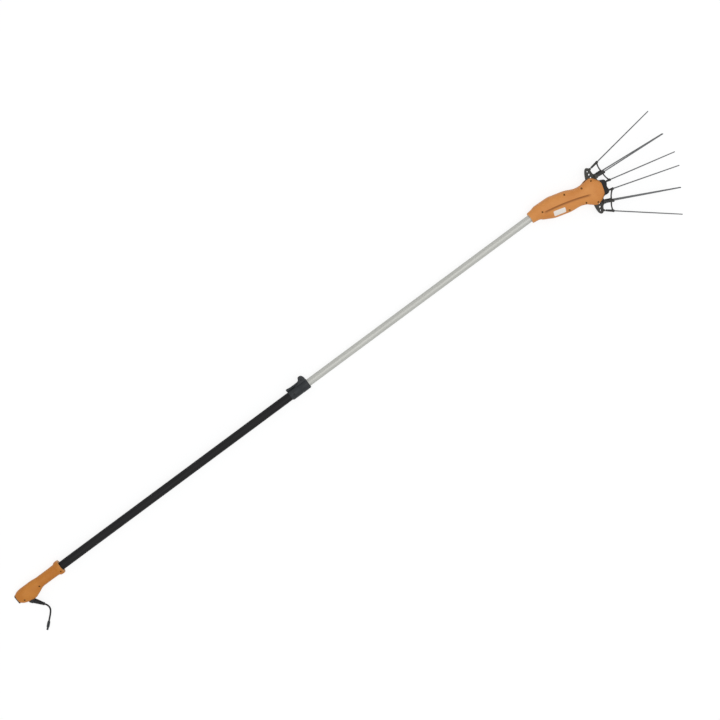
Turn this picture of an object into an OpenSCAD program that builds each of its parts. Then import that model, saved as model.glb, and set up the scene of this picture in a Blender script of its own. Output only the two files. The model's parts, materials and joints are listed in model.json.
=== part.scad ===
// Electric olive harvester: a telescopic pole with a switched handle at the rear end
// and a geared head at the front end that swings two combs of carbon rods.
// Millimetres. The pole axis is X, with the head at +X and the flat of the head facing +Z.
// The origin lies on the pole axis in the mouth of the handle.

/* [Pole] */
// outside diameter of the rear tube
outer_tube_d = 35; // [33:0.5:38]
// wall of the rear tube
outer_tube_wall = 2; // [1.5:0.1:2.1]
// front end of the rear tube, measured from the handle mouth
outer_tube_front = 1190; // [1150:5:1230]
// depth of the rear tube in the handle
outer_tube_seat = 60; // [40:1:66]
// outside diameter of the front tube
inner_tube_d = 30; // [27:0.5:30]
// wall of the front tube
inner_tube_wall = 1.5; // [1:0.1:2]
// length of front tube left inside the rear tube when drawn out
tube_overlap = 160; // [100:5:300]
// running gap at the rear guide bush
bush_gap = 0.05; // [0.02:0.01:0.1]
// length of the guide bush flange
bush_flange = 8; // [5:1:15]
// length of the guide bush plug
bush_plug = 24; // [15:1:40]
// width of the anti-turn groove in the front tube
groove_w = 3; // [2:0.5:4]
// depth of the anti-turn groove
groove_depth = 0.6; // [0.3:0.1:0.8]
// outside diameter of the curly lead inside the pole
pole_lead_d = 18; // [12:1:22]

/* [Clamp] */
// length of the clamp collar
collar_len = 89; // [80:1:110]
// length of collar ahead of the rear tube
collar_front = 40; // [36:1:50]
// wall of the clamp collar over the rear tube
collar_wall = 4; // [3:0.5:6]
// gap between the collar and the sliding front tube
slide_gap = 0.35; // [0.3:0.05:0.6]
// height of the lever pivot above the pole axis
lever_pivot_y = 30; // [28:0.5:34]
// distance of the lever pivot behind the collar front
lever_pivot_back = 16; // [14:0.5:20]
// radius of the lever cam
cam_r = 10; // [9:0.25:10.5]
// offset of the cam from its pivot
cam_throw = 1.2; // [0.6:0.1:1.6]
// width of the lever
lever_w = 14; // [10:1:18]
// length of the lever behind its pivot
lever_len = 74; // [60:1:80]
// thickness of the lever arm
lever_t = 5; // [4:0.5:6]
// diameter of the lever pin
lever_pin_d = 6; // [4:0.5:7]
// radius of the rounded pivot cheeks
cheek_r = 12; // [11:0.5:13]
// thickness of one pivot cheek
cheek_t = 5; // [4:0.5:6]
// diameter of the clamp pad
pad_d = 14; // [12:1:16]
// outside radius step of the wiper ring
wiper_t = 2; // [1.5:0.25:2.5]
// length of the wiper ring
wiper_len = 4; // [3:0.5:6]
// diameter of the collar screws
collar_screw_d = 4; // [3:0.5:5]

/* [Handle] */
// length of the handle
handle_len = 217; // [205:1:240]
// largest half width of the handle
handle_half_w = 33.5; // [32:0.5:36]
// largest half depth of the handle
handle_half_h = 27; // [26:0.5:29]
// wall of the handle shells
handle_wall = 3; // [2.5:0.1:3.5]
// diameter of the handle screws
handle_screw_d = 3.2; // [2.6:0.2:3.6]
// diameter of a handle screw post
handle_post_d = 8; // [7:0.5:9]
// sink of a screw seat below the surface
screw_sink = 6; // [5:0.5:7]

/* [Switch] */
// width of the switch body across the handle
switch_w = 25; // [22:0.5:27]
// depth of the switch body up and down
switch_h = 17; // [15:0.5:18]
// length of the switch body into the handle
switch_len = 18; // [15:0.5:20]
// thickness of the switch rim
switch_rim_t = 2; // [1.5:0.25:2.5]
// overhang of the switch rim round its body
switch_rim = 5; // [4.5:0.25:5.5]
// wall of the switch body
switch_wall = 2.2; // [1.8:0.1:2.5]
// rocker tilt at rest
rocker_tilt = 7; // [5:0.5:8]
// diameter of the rocker trunnions
rocker_pin_d = 3; // [2:0.5:3.5]

/* [Lead] */
// diameter of the power lead
lead_d = 7; // [6:0.5:8]
// length of the bend guard outside the handle
guard_len = 47; // [40:1:60]
// largest diameter of the bend guard
guard_d = 15; // [13:0.5:16]
// tip diameter of the bend guard
guard_tip_d = 10; // [9:0.5:11]
// number of ribs on the bend guard
guard_ribs = 6; // [4:1:8]
// diameter of the bend guard neck in the handle
guard_neck_d = 10; // [9:0.5:10.5]
// length of the plug barrel
plug_len = 26; // [20:1:34]
// diameter of the plug barrel
plug_d = 12; // [11:0.5:14]
// length of the plug tip
plug_tip_len = 12; // [9:0.5:15]
// diameter of the plug tip
plug_tip_d = 8; // [7:0.5:9]

/* [Head] */
// length of the head along its axis
head_len = 316; // [300:1:335]
// length of the head collar behind the bend
head_collar = 36; // [34:1:40]
// largest half width of the head
head_half_w = 57; // [56:0.5:60]
// largest half depth of the head
head_half_h = 35; // [34.5:0.5:37]
// wall of the head shells
head_wall = 3; // [2.5:0.1:3.2]
// angle of the head to the pole
head_bend = 15.4; // [10:0.2:20]
// distance from the handle mouth to the bend in the head
bend_x = 2366; // [2200:1:2500]
// half height of the slot that the comb arms swing in
slot_half = 10.5; // [10:0.1:11]
// fit of the tubes in the shells
tube_fit = 0.25; // [0.2:0.05:0.4]
// diameter of the head screws
head_screw_d = 3.6; // [3:0.2:4]
// diameter of a head screw post
head_post_d = 9; // [8:0.5:10]

/* [Motor and gears] */
// diameter of the motor can
motor_d = 44; // [40:0.5:45]
// length of the motor can
motor_len = 76; // [60:1:80]
// place of the motor's front face along the head, as a share of its length
motor_share = 0.538; // [0.525:0.001:0.55]
// diameter of the motor shaft
motor_shaft_d = 5; // [4:0.5:5.5]
// gear module of the reduction
gear_module = 0.8; // [0.78:0.01:0.81]
// face width of the gears
gear_w = 10; // [8:0.5:11]
// radius of the gear case
case_r = 25; // [24:0.5:26]
// diameter of the drive shaft
shaft_d = 10; // [9:0.5:11]
// running gap of shafts and pins
run_gap = 0.05; // [0.03:0.01:0.08]
// outside diameter of a shaft bearing
bearing_d = 22; // [20:0.5:24]
// width of a shaft bearing
bearing_w = 6; // [5:0.5:7]
// throw of the drive eccentric
eccentric_throw = 2.5; // [2.4:0.05:2.55]
// diameter of the eccentric roller
roller_d = 13; // [12:0.25:13]
// width of the eccentric roller
roller_w = 8; // [6:0.5:9]

/* [Comb arms] */
// place of the comb pivots along the head, as a share of its length
pivot_share = 0.8671; // [0.864:0.0005:0.87]
// distance of a comb pivot from the head axis
pivot_b = 22; // [21.5:0.25:22.5]
// diameter of a comb pivot pin
pivot_d = 10; // [8:0.5:11]
// wall of a comb pivot bush
pivot_bush_t = 2; // [1.5:0.25:2.5]
// thickness of a comb arm
arm_t = 16; // [14:0.5:17]
// thickness of a frame plate
plate_t = 4; // [3:0.25:5]
// gap between the comb arms and the frame plates
plate_gap = 1.5; // [1:0.1:2]

/* [Rods] */
// diameter of a carbon rod
rod_d = 5; // [4:0.25:5.5]
// length of a rod ahead of its sleeve
rod_reach = 283; // [240:1:320]
// height of a paired rod above the comb plane at its sleeve
pair_half_h = 21; // [19:0.5:23]
// height of a paired rod above the comb plane at its tip
pair_tip_h = 5; // [4:0.5:8]
// outside diameter of a rod sleeve at its front
sleeve_d = 10; // [9:0.25:11]
// outside diameter of a rod sleeve at its rear
sleeve_rear_d = 8; // [7.5:0.25:8.5]
// thickness of the comb strap
strap_t = 5; // [4:0.25:6]
// height of the comb strap
strap_h = 10; // [8:0.5:12]
// fit of a rod in its sleeve and arm
rod_fit = 0.05; // [0.03:0.01:0.1]

/* [Hidden] */
$fn = 64;
overrun = 1;
// radii worked out from the diameters
outer_r = outer_tube_d / 2;
outer_bore_r = outer_r - outer_tube_wall;
inner_r = inner_tube_d / 2;
inner_bore_r = inner_r - inner_tube_wall;
tube_rear = outer_tube_front - tube_overlap;
tube_end_gap = 2;
// loft counts
loft_stations = 40;
loft_sides = 12;
// groove angle, turned from the top of the front tube toward its right side
groove_turn = -25;

// Curves through a few chosen points

function part_of(x, table, i = 0) =
    i >= len(table) - 2 || x < table[i + 1][0] ? i : part_of(x, table, i + 1);
function rise(table, i) = (table[i + 1][1] - table[i][1]) / (table[i + 1][0] - table[i][0]);
function slope(table, i) =
    i == 0 ? rise(table, 0)
    : i == len(table) - 1 ? rise(table, i - 1)
    : rise(table, i - 1) * rise(table, i) <= 0 ? 0
    : 2 / (1 / rise(table, i - 1) + 1 / rise(table, i));
function curve(x, table) =
    let (i = part_of(x, table), run = table[i + 1][0] - table[i][0], u = (x - table[i][0]) / run)
    table[i][1] * (1 + 2 * u) * (1 - u) * (1 - u) + slope(table, i) * run * u * (1 - u) * (1 - u)
    + table[i + 1][1] * u * u * (3 - 2 * u) - slope(table, i + 1) * run * u * u * (1 - u);
function ease(u) = u <= 0 ? 0 : u >= 1 ? 1 : u * u * (3 - 2 * u);

// Lofted half shells: each ring runs over an outer arch and back along an inner arch

function arch(w, h, n, floor_z, u) =
    let (t0 = asin(pow(floor_z / h, n / 2)), t = t0 + (180 - 2 * t0) * u)
    [w * sign(cos(t)) * pow(abs(cos(t)), 2 / n), h * pow(abs(sin(t)), 2 / n)];
ring_size = 2 * (loft_sides + 1);
function quad_faces(a, b, c, d) = [[a, b, c], [a, c, d]];
function side_faces() = [
    for (i = [0 : loft_stations - 1], k = [0 : ring_size - 1])
        let (m = (k + 1) % ring_size, o = i * ring_size)
        each quad_faces(o + k, o + m, o + ring_size + m, o + ring_size + k)
];
function cap_faces(o, back) = [
    for (k = [0 : loft_sides - 1])
        let (m = ring_size - 1 - k)
        each back ? quad_faces(o + k, o + m, o + m - 1, o + k + 1)
            : quad_faces(o + k, o + k + 1, o + m - 1, o + m)
];
loft_faces = concat(side_faces(), cap_faces(0, true),
    cap_faces(loft_stations * ring_size, false));

// Handle form: places are shares of the length, widths and depths shares of the largest

handle_width_shares = [
    [0, 0.84], [0.03, 0.87], [0.08, 0.84], [0.115, 0.7], [0.28, 0.67], [0.46, 0.67],
    [0.62, 0.9], [0.715, 1], [0.857, 0.94], [0.945, 0.8], [1, 0.58]
];
handle_shift_shares = [[0, 0], [0.44, 0], [0.62, 0.15], [0.715, 0.25], [0.857, 0.19], [1, 0.09]];
handle_depth_shares = [
    [0, 0.96], [0.03, 1], [0.08, 0.96], [0.115, 0.83], [0.28, 0.8], [0.5, 0.8],
    [0.715, 0.89], [0.857, 0.89], [0.945, 0.8], [1, 0.62]
];
handle_square = 2.3;
handle_bore_r = outer_r + tube_fit;
handle_bore_share = outer_tube_seat / handle_len;
function handle_w(t) = handle_half_w * curve(t, handle_width_shares);
function handle_h(t) = handle_half_h * curve(t, handle_depth_shares);
function handle_y(t) = -handle_half_w * curve(t, handle_shift_shares);
function handle_in_w(t) = t <= handle_bore_share ? handle_bore_r : handle_w(t) - handle_wall;
function handle_in_h(t) = t <= handle_bore_share ? handle_bore_r : handle_h(t) - handle_wall;
function handle_in_n(t) = t <= handle_bore_share ? 2 : handle_square;
function handle_ring(t) = concat(
    [for (k = [0 : loft_sides])
        let (p = arch(handle_w(t), handle_h(t), handle_square, 0, k / loft_sides))
        [-handle_len * t, handle_y(t) + p[0], p[1]]],
    [for (k = [0 : loft_sides])
        let (p = arch(handle_in_w(t), handle_in_h(t), handle_in_n(t), 0, 1 - k / loft_sides))
        [-handle_len * t, handle_y(t) + p[0], p[1]]]
);
// surface height of the handle over a point in plan
function handle_top(x, y) =
    let (t = -x / handle_len)
    handle_h(t) * pow(1 - pow(abs((y - handle_y(t)) / handle_w(t)), handle_square), 1 / handle_square);
handle_screw_shares = [[0.525, -0.295], [0.895, -0.58]];
handle_screw_places = [for (s = handle_screw_shares) [-handle_len * s[0], handle_half_w * s[1]]];
screw_head_d = 2 * handle_screw_d;
screw_head_t = 2.4;
screw_gap = 0.2;
// a set screw in the flared mouth bears on the tube
mouth_screw_share = [0.042, -0.37];
mouth_screw_place = [-handle_len * mouth_screw_share[0], handle_half_w * mouth_screw_share[1]];
mouth_screw_side = abs(mouth_screw_place[1]) - handle_screw_d / 2;
mouth_screw_low = sqrt(pow(outer_r, 2) - pow(mouth_screw_side, 2)) + screw_gap;
post_bury = 1.5;
handle_post_bury = 2;
screw_bite = 10;

// Switch, seated on the flat rear end of the handle

switch_y = handle_y(1);
rocker_side_gap = 0.6;
rocker_end_gap = 0.5;
rocker_corner = 1;
rocker_w = switch_w - 2 * switch_wall - 2 * rocker_side_gap;
rocker_h = switch_h - 2 * switch_wall - 2 * rocker_end_gap;
rocker_pivot_in = 7;
rocker_stand = 3;
rocker_depth = 5;
trunnion_in = 1.2;

// Lead, bend guard and plug

guard_turn = -56.7;
guard_base_share = [0.816, 1.16];
guard_base = [-handle_len * guard_base_share[0], -handle_half_w * guard_base_share[1]];
guard_boss_len = 8;
guard_boss_in = 10;
guard_neck_len = 16;
guard_rib_depth = 0.7;
lead_r = lead_d / 2;
lead_sides = 12;
plug_lip = 1;
// route of the lead: it leaves the bend guard level, sinks to the ground and lies there
lead_route = [
    [-185, -27, 0], [-177.5, -38.5, 0], [-169.5, -50.5, 0], [-162, -62, 0], [-154.5, -73.5, 0],
    [-146.5, -85.5, 0], [-142.5, -93, -0.5], [-141, -99.5, -1.5], [-141, -106, -3],
    [-142.5, -112.5, -5], [-145.5, -118.5, -7.5], [-149.5, -124, -10], [-154.5, -129.5, -12.5],
    [-160, -135, -15], [-165.5, -140, -17.5], [-171, -145, -19], [-176.5, -150, -20],
    [-182, -155, -20]
];

// Clamp

collar_x = outer_tube_front + collar_front - collar_len;
collar_end = collar_x + collar_len;
collar_r = outer_r + collar_wall;
collar_bore_r = inner_r + slide_gap;
lever_x = collar_end - lever_pivot_back;
cam_low = lever_pivot_y - cam_throw - cam_r;
contact_gap = 0.3;
pad_gap = 0.15;
lever_gap = 0.5;
lever_tip_share = 0.42;
lever_bend_share = 0.7;
collar_chamfer = 2;

// Head form, in its own frame: A along the head axis from the bend, B to the left, Z up

head_width_shares = [
    [0, 0.395], [0.02, 0.415], [0.07, 0.45], [0.119, 0.53], [0.193, 0.63], [0.33, 0.77],
    [0.5, 0.77], [0.67, 0.65], [0.737, 0.7], [0.823, 0.93], [0.868, 1], [0.905, 0.94],
    [0.956, 0.74], [0.985, 0.58], [1, 0.46]
];
head_depth_shares = [
    [0, 0.643], [0.02, 0.675], [0.07, 0.715], [0.119, 0.8], [0.193, 0.91], [0.33, 1],
    [0.5, 1], [0.67, 0.91], [0.823, 0.87], [0.873, 0.855], [0.93, 0.77], [0.97, 0.62], [1, 0.43]
];
head_round_share = 0.7;
round_start_share = 0.07;
round_run_share = 0.13;
turn_lead_share = 0.33;
turn_run_share = 0.8;
slot_start_share = 0.77;
slot_full_share = 0.795;
bore_end_share = 0.1;
cavity_share = 0.14;
head_bore_r = inner_r + tube_fit;
function head_a(t) = head_len * t - head_collar;
function head_share(a) = (a + head_collar) / head_len;
function head_w(t) = head_half_w * curve(t, head_width_shares);
function head_h(t) = head_half_h * curve(t, head_depth_shares);
function head_n(t) = 2 + head_round_share * ease((t - round_start_share) / round_run_share);
function head_floor(t) = slot_half * ease((t - slot_start_share) / (slot_full_share - slot_start_share));
function cavity(t) = ease((t - bore_end_share) / (cavity_share - bore_end_share));
function head_in_w(t) = head_bore_r + (head_w(t) - head_wall - head_bore_r) * cavity(t);
function head_in_h(t) = head_bore_r + (head_h(t) - head_wall - head_bore_r) * cavity(t);
function head_turn(a) = head_bend * (1 - ease((a / head_collar + turn_lead_share) / turn_run_share));
function head_point(a, b, z) =
    let (turn = head_turn(a), c = a < 0 ? [a * cos(head_bend), a * sin(head_bend)] : [a, 0])
    [c[0] - b * sin(turn), c[1] + b * cos(turn), z];
function head_ring(t) = concat(
    [for (k = [0 : loft_sides])
        let (p = arch(head_w(t), head_h(t), head_n(t), head_floor(t), k / loft_sides))
        head_point(head_a(t), p[0], p[1])],
    [for (k = [0 : loft_sides])
        let (p = arch(head_in_w(t), head_in_h(t), head_n(t), head_floor(t), 1 - k / loft_sides))
        head_point(head_a(t), p[0], p[1])]
);
function head_top(a, b) =
    let (t = head_share(a), n = head_n(t))
    head_h(t) * pow(1 - pow(abs(b / head_w(t)), n), 1 / n);

// Drive line along the head axis

sun_teeth = 12;
planet_teeth = 18;
case_wall = 2;
case_front_wall = 4;
motor_front = head_a(motor_share);
case_rear = motor_front;
gear_set_in = 6;
gear_rear = case_rear + gear_set_in;
ring_teeth = sun_teeth + 2 * planet_teeth;
gear_centre = gear_module * (sun_teeth + planet_teeth) / 2;
planet_turns = [0, 120, 240];
planet_pin_d = 5;
carrier_gap = 2;
carrier_rear = gear_rear + gear_w + carrier_gap;
carrier_t = 5;
carrier_r = gear_centre + planet_pin_d;
carrier_front_gap = 1;
case_len = carrier_rear + carrier_t + carrier_front_gap + case_front_wall - case_rear;
case_front = case_rear + case_len;
pivot_a = head_a(pivot_share);
frame_back_share = 0.1646;
frame_rear = pivot_a - head_len * frame_back_share;
frame_wall = 6;
roller_back_share = 0.0823;
roller_a = pivot_a - head_len * roller_back_share;
roller_steps = 4;
web_t = 4;
web_gap = 2;
journal_d = 8;
web_rim = 0.5;
web_r = journal_d / 2 + eccentric_throw + web_rim;
web_rear = frame_rear + frame_wall + web_gap;
addendum_share = 0.9;
dedendum_share = 1.15;
backlash_share = 0.05;
press_angle = 25;
flank_points = 4;

// Frame and comb arms

plate_z = arm_t / 2 + plate_gap;
frame_outline_shares = [
    [0, 0.53], [0.15, 0.55], [0.5, 0.76], [0.72, 0.85], [0.9, 0.76], [1, 0.52]
];
frame_len_share = 0.2405;
frame_len = head_len * frame_len_share;
fork_room = 1.1;
fork_half = roller_d / 2 + fork_room;
fork_t = 5;
fork_len = 18;
fork_floor = 0.5;
fork_link_share = 1.5;
hub_wall = 5;
hub_r = pivot_d / 2 + pivot_bush_t + hub_wall;
comb_teeth = 22;
comb_module = 2 * pivot_b / comb_teeth;
sector_top = -1;
sector_turn = 34;
// rods: front ends of the sleeves ahead of the pivot and to the side of the head axis, and headings
outer_rod_place = [58, 105];
pair_place = [66.5, 61];
inner_rod_place = [84.5, 19];
outer_rod_end = [pivot_a + outer_rod_place[0], outer_rod_place[1]];
outer_rod_turn = 23.9;
pair_end = [pivot_a + pair_place[0], pair_place[1]];
pair_turn = 10.9;
inner_rod_end = [pivot_a + inner_rod_place[0], inner_rod_place[1]];
inner_rod_turn = 2;
outer_root = 56;
pair_root = 45;
inner_root = 46;
outer_sleeve_len = 36;
pair_sleeve_len = 29;
inner_sleeve_len = 19;
pair_post_back = 38.5;
pair_post_d = 14;
pair_post_over = 6;
strap_bow = 7;
strap_steps = 10;
strap_slope_share = 0.01;
rod_r = rod_d / 2;

// Shared pieces

module head_frame() {
    translate([bend_x, 0, 0]) rotate([0, 0, -head_bend]) children();
}
module along_x() {
    rotate([0, 90, 0]) children();
}
module tube(r, bore, len) {
    difference() {
        cylinder(r = r, h = len);
        translate([0, 0, -overrun]) cylinder(r = bore, h = len + 2 * overrun);
    }
}
module screw(d, head_d, head_t, len) {
    cylinder(d = d, h = len);
    translate([0, 0, len]) cylinder(d = head_d, h = head_t);
}

// Involute teeth

function involute(angle) = tan(angle) * 180 / PI - angle;
function half_tooth(r, teeth, pitch_r) =
    let (base_r = pitch_r * cos(press_angle), at = r <= base_r ? 0 : acos(base_r / r))
    90 / teeth * (1 - backlash_share) + involute(press_angle) - involute(at);
function polar(r, turn) = [r * cos(turn), r * sin(turn)];
function gear_outline(teeth, module_size, add, ded) =
    let (
        pitch_r = module_size * teeth / 2,
        low = pitch_r - ded * module_size,
        high = pitch_r + add * module_size,
        radii = [for (i = [0 : flank_points]) low + (high - low) * i / flank_points]
    )
    [for (k = [0 : teeth - 1]) each concat(
        [for (i = [0 : flank_points])
            polar(radii[i], 360 * k / teeth - half_tooth(radii[i], teeth, pitch_r))],
        [for (i = [flank_points : -1 : 0])
            polar(radii[i], 360 * k / teeth + half_tooth(radii[i], teeth, pitch_r))]
    )];
module gear(teeth, module_size, w) {
    linear_extrude(w) polygon(gear_outline(teeth, module_size, addendum_share, dedendum_share));
}

// Handle

module handle_half() {
    polyhedron([for (i = [0 : loft_stations]) each handle_ring(i / loft_stations)], loft_faces);
}
module handle_posts(d, low, below) {
    for (p = handle_screw_places)
        translate([p[0], p[1], low]) cylinder(d = d, h = handle_top(p[0], p[1]) - below - low);
}
module guard_frame() {
    translate([guard_base[0], guard_base[1], 0]) rotate([0, 0, guard_turn]) along_x() children();
}
module guard_boss() {
    intersection() {
        guard_frame() translate([0, 0, -guard_boss_in])
            cylinder(d = guard_d + 2 * handle_wall, h = guard_boss_in + guard_boss_len);
        translate([-2 * handle_len, -2 * handle_len, 0]) cube(2 * [handle_len, handle_len, handle_len]);
    }
}
module guard_hole() {
    guard_frame() translate([0, 0, -guard_neck_len - screw_gap])
        cylinder(d = guard_neck_d + 2 * screw_gap, h = guard_neck_len + 2 * guard_boss_in);
}
module handle_shell_half() {
    difference() {
        union() {
            handle_half();
            handle_posts(handle_post_d, 0, handle_post_bury);
            guard_boss();
        }
        guard_hole();
        children();
    }
}
module handle_screw_well(p) {
    translate([p[0], p[1], -overrun])
        cylinder(d = handle_screw_d + 2 * screw_gap, h = handle_half_h + overrun);
    translate([p[0], p[1], handle_top(p[0], p[1]) - screw_sink])
        cylinder(d = screw_head_d + 2 * screw_gap, h = handle_half_h);
}
module handle_shell_top() {
    color("orangered") handle_shell_half()
        for (p = concat(handle_screw_places, [mouth_screw_place])) handle_screw_well(p);
}
module handle_shell_bottom() {
    color("orangered") mirror([0, 0, 1]) handle_shell_half()
        for (p = handle_screw_places)
            translate([p[0], p[1], -overrun]) cylinder(d = handle_screw_d, h = screw_bite + overrun);
}
module handle_screw(p, low) {
    translate([p[0], p[1], low])
        screw(handle_screw_d, screw_head_d, screw_head_t,
            handle_top(p[0], p[1]) - screw_sink - low);
}
module handle_screws() {
    color("dimgray") {
        for (p = handle_screw_places) handle_screw(p, -screw_bite);
        handle_screw(mouth_screw_place, mouth_screw_low);
    }
}

// Switch

module switch_frame() {
    color("black") translate([-handle_len, switch_y, 0]) difference() {
        union() {
            translate([-switch_rim_t, -switch_w / 2 - switch_rim, -switch_h / 2 - switch_rim])
                cube([switch_rim_t, switch_w + 2 * switch_rim, switch_h + 2 * switch_rim]);
            translate([-switch_rim_t, -switch_w / 2, -switch_h / 2])
                cube([switch_rim_t + switch_len, switch_w, switch_h]);
        }
        translate([-switch_rim_t - overrun, switch_wall - switch_w / 2, switch_wall - switch_h / 2])
            cube([
                switch_rim_t + switch_len - switch_wall + overrun,
                switch_w - 2 * switch_wall,
                switch_h - 2 * switch_wall
            ]);
        translate([rocker_pivot_in, 0, -switch_h / 2 + switch_wall - trunnion_in - run_gap])
            cylinder(d = rocker_pin_d + 2 * run_gap,
                h = switch_h - 2 * switch_wall + 2 * trunnion_in + 2 * run_gap);
    }
}
module switch_rocker() {
    color("dimgray") translate([rocker_pivot_in - handle_len, switch_y, 0])
        rotate([0, 0, rocker_tilt]) {
            translate([0, 0, -rocker_h / 2]) linear_extrude(rocker_h) polygon([
                [rocker_depth, -rocker_w / 4], [rocker_depth, rocker_w / 4],
                [0, rocker_w / 2 - rocker_corner],
                [-rocker_pivot_in - rocker_stand, rocker_w / 2 - rocker_corner],
                [-rocker_pivot_in, 0],
                [-rocker_pivot_in - rocker_stand, rocker_corner - rocker_w / 2],
                [0, rocker_corner - rocker_w / 2]
            ]);
            translate([0, 0, switch_wall - trunnion_in - switch_h / 2])
                cylinder(d = rocker_pin_d, h = switch_h - 2 * switch_wall + 2 * trunnion_in);
        }
}

// Lead

module strain_relief() {
    rib = guard_len / (2 * guard_ribs);
    color("black") guard_frame() rotate_extrude() polygon(concat(
        [[lead_r, -guard_neck_len], [guard_neck_d / 2, -guard_neck_len],
            [guard_neck_d / 2, guard_boss_len], [guard_d / 2, guard_boss_len]],
        [for (i = [1 : 2 * guard_ribs - 1])
            let (r = guard_d / 2 + (guard_tip_d - guard_d) / 2 * i / (2 * guard_ribs))
            each [[r - (i % 2) * guard_rib_depth, guard_boss_len + rib * i],
                [r - (1 - i % 2) * guard_rib_depth, guard_boss_len + rib * i]]],
        [[guard_tip_d / 2, guard_boss_len + guard_len], [lead_r, guard_boss_len + guard_len]]
    ));
}
function unit(v) = v / norm(v);
function lead_heading(i) =
    i == 0 ? unit(lead_route[1] - lead_route[0])
    : i == len(lead_route) - 1 ? unit(lead_route[i] - lead_route[i - 1])
    : unit(unit(lead_route[i + 1] - lead_route[i]) + unit(lead_route[i] - lead_route[i - 1]));
function lead_ring(i) =
    let (f = lead_heading(i), side = unit(cross(f, [0, 0, 1])), up = cross(side, f))
    [for (k = [0 : lead_sides - 1])
        lead_route[i] + lead_r * (cos(360 * k / lead_sides) * side + sin(360 * k / lead_sides) * up)];
module power_lead() {
    rings = len(lead_route);
    color("black") polyhedron(
        [for (i = [0 : rings - 1]) each lead_ring(i)],
        concat(
            [for (i = [0 : rings - 2], k = [0 : lead_sides - 1])
                let (o = i * lead_sides, m = (k + 1) % lead_sides)
                each quad_faces(o + k, o + lead_sides + k, o + lead_sides + m, o + m)],
            [[for (k = [0 : lead_sides - 1]) k]],
            [[for (k = [lead_sides - 1 : -1 : 0]) (rings - 1) * lead_sides + k]]
        )
    );
}
module lead_plug() {
    last = len(lead_route) - 1;
    f = lead_heading(last);
    color("black") translate(lead_route[last]) rotate([0, acos(f[2]), atan2(f[1], f[0])])
        rotate_extrude() polygon([
            [0, 0], [lead_r + plug_lip, 0], [plug_d / 2, plug_len / 4], [plug_d / 2, plug_len],
            [plug_tip_d / 2, plug_len], [plug_tip_d / 2, plug_len + plug_tip_len],
            [0, plug_len + plug_tip_len]
        ]);
}

// Pole and clamp

module outer_tube() {
    color("dimgray") difference() {
        translate([-outer_tube_seat, 0, 0]) along_x()
            tube(outer_r, outer_bore_r, outer_tube_seat + outer_tube_front);
        collar_screw_holes();
    }
}
collar_screw_x = collar_x + (collar_len - collar_front) / 3;
module collar_screw_holes() {
    translate([collar_screw_x, 0, -collar_r - overrun])
        cylinder(d = collar_screw_d, h = 2 * collar_r + 2 * overrun);
}
module collar_screws() {
    color("dimgray") difference() {
        for (side = [0, 180]) rotate([side, 0, 0]) translate([collar_screw_x, 0, 0])
            cylinder(d = collar_screw_d, h = collar_r - contact_gap);
        translate([collar_screw_x - collar_screw_d, 0, 0]) along_x()
            cylinder(r = outer_bore_r + contact_gap, h = 2 * collar_screw_d);
    }
}
module clamp_collar() {
    color("black") difference() {
        union() {
            translate([collar_x, 0, 0]) along_x() rotate_extrude() polygon([
                [0, 0], [collar_r - collar_chamfer, 0], [collar_r, collar_chamfer],
                [collar_r, collar_len - collar_chamfer], [collar_r - collar_chamfer, collar_len],
                [0, collar_len]
            ]);
            for (side = [-1, 1]) translate([0, 0, side * (lever_w / 2 + lever_gap + cheek_t / 2)])
                clamp_cheek();
        }
        translate([collar_x - overrun, 0, 0]) along_x()
            cylinder(r = outer_r + pad_gap, h = collar_len - collar_front + overrun);
        translate([collar_x, 0, 0]) along_x() cylinder(r = collar_bore_r, h = collar_len + overrun);
        translate([collar_end - wiper_len, 0, 0]) along_x()
            cylinder(r = collar_bore_r + wiper_t, h = wiper_len + overrun);
        translate([lever_x, 0, 0]) rotate([-90, 0, 0]) cylinder(d = pad_d + 2 * pad_gap, h = lever_pivot_y);
        translate([lever_x, lever_pivot_y, 0]) cylinder(r = cam_r + cam_throw + contact_gap,
            h = lever_w + 2 * lever_gap, center = true);
        translate([lever_x, lever_pivot_y, 0])
            cylinder(d = lever_pin_d, h = 2 * cheek_r + 2 * lever_w, center = true);
        collar_screw_holes();
    }
}
module clamp_cheek() {
    linear_extrude(cheek_t, center = true) {
        translate([lever_x, lever_pivot_y]) circle(r = cheek_r);
        translate([lever_x - cheek_r, inner_r + wiper_t])
            square([2 * cheek_r, lever_pivot_y - inner_r - wiper_t]);
    }
}
module clamp_pad() {
    color("gray") difference() {
        translate([lever_x, 0, 0]) rotate([-90, 0, 0]) cylinder(d = pad_d, h = cam_low - contact_gap);
        translate([lever_x - pad_d, 0, 0]) along_x() cylinder(r = collar_bore_r, h = 2 * pad_d);
    }
}
module clamp_lever() {
    arm_low = collar_r + 2 * lever_gap;
    color("black") translate([lever_x, lever_pivot_y, 0]) difference() {
        union() {
            translate([0, -cam_throw, 0]) cylinder(r = cam_r, h = lever_w, center = true);
            translate([0, -lever_pivot_y, -lever_w / 2]) linear_extrude(lever_w) polygon([
                [0, arm_low], [0, lever_pivot_y + cam_r / 2], [-cam_r, lever_pivot_y],
                [-2 * cam_r, arm_low + lever_t], [-lever_len * lever_bend_share, arm_low + lever_t],
                [-lever_len, arm_low + lever_t * (1 + lever_tip_share)],
                [-lever_len, arm_low + lever_t * lever_tip_share], [-lever_len * lever_bend_share, arm_low]
            ]);
        }
        cylinder(d = lever_pin_d + 2 * run_gap, h = 2 * lever_w, center = true);
    }
}
module lever_pin() {
    color("silver") translate([lever_x, lever_pivot_y, 0])
        cylinder(d = lever_pin_d, h = lever_w + 2 * lever_gap + 2 * cheek_t, center = true);
}
module wiper_ring() {
    color("gray") translate([collar_end - wiper_len, 0, 0]) along_x()
        tube(collar_bore_r + wiper_t, collar_bore_r, wiper_len);
}
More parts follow.
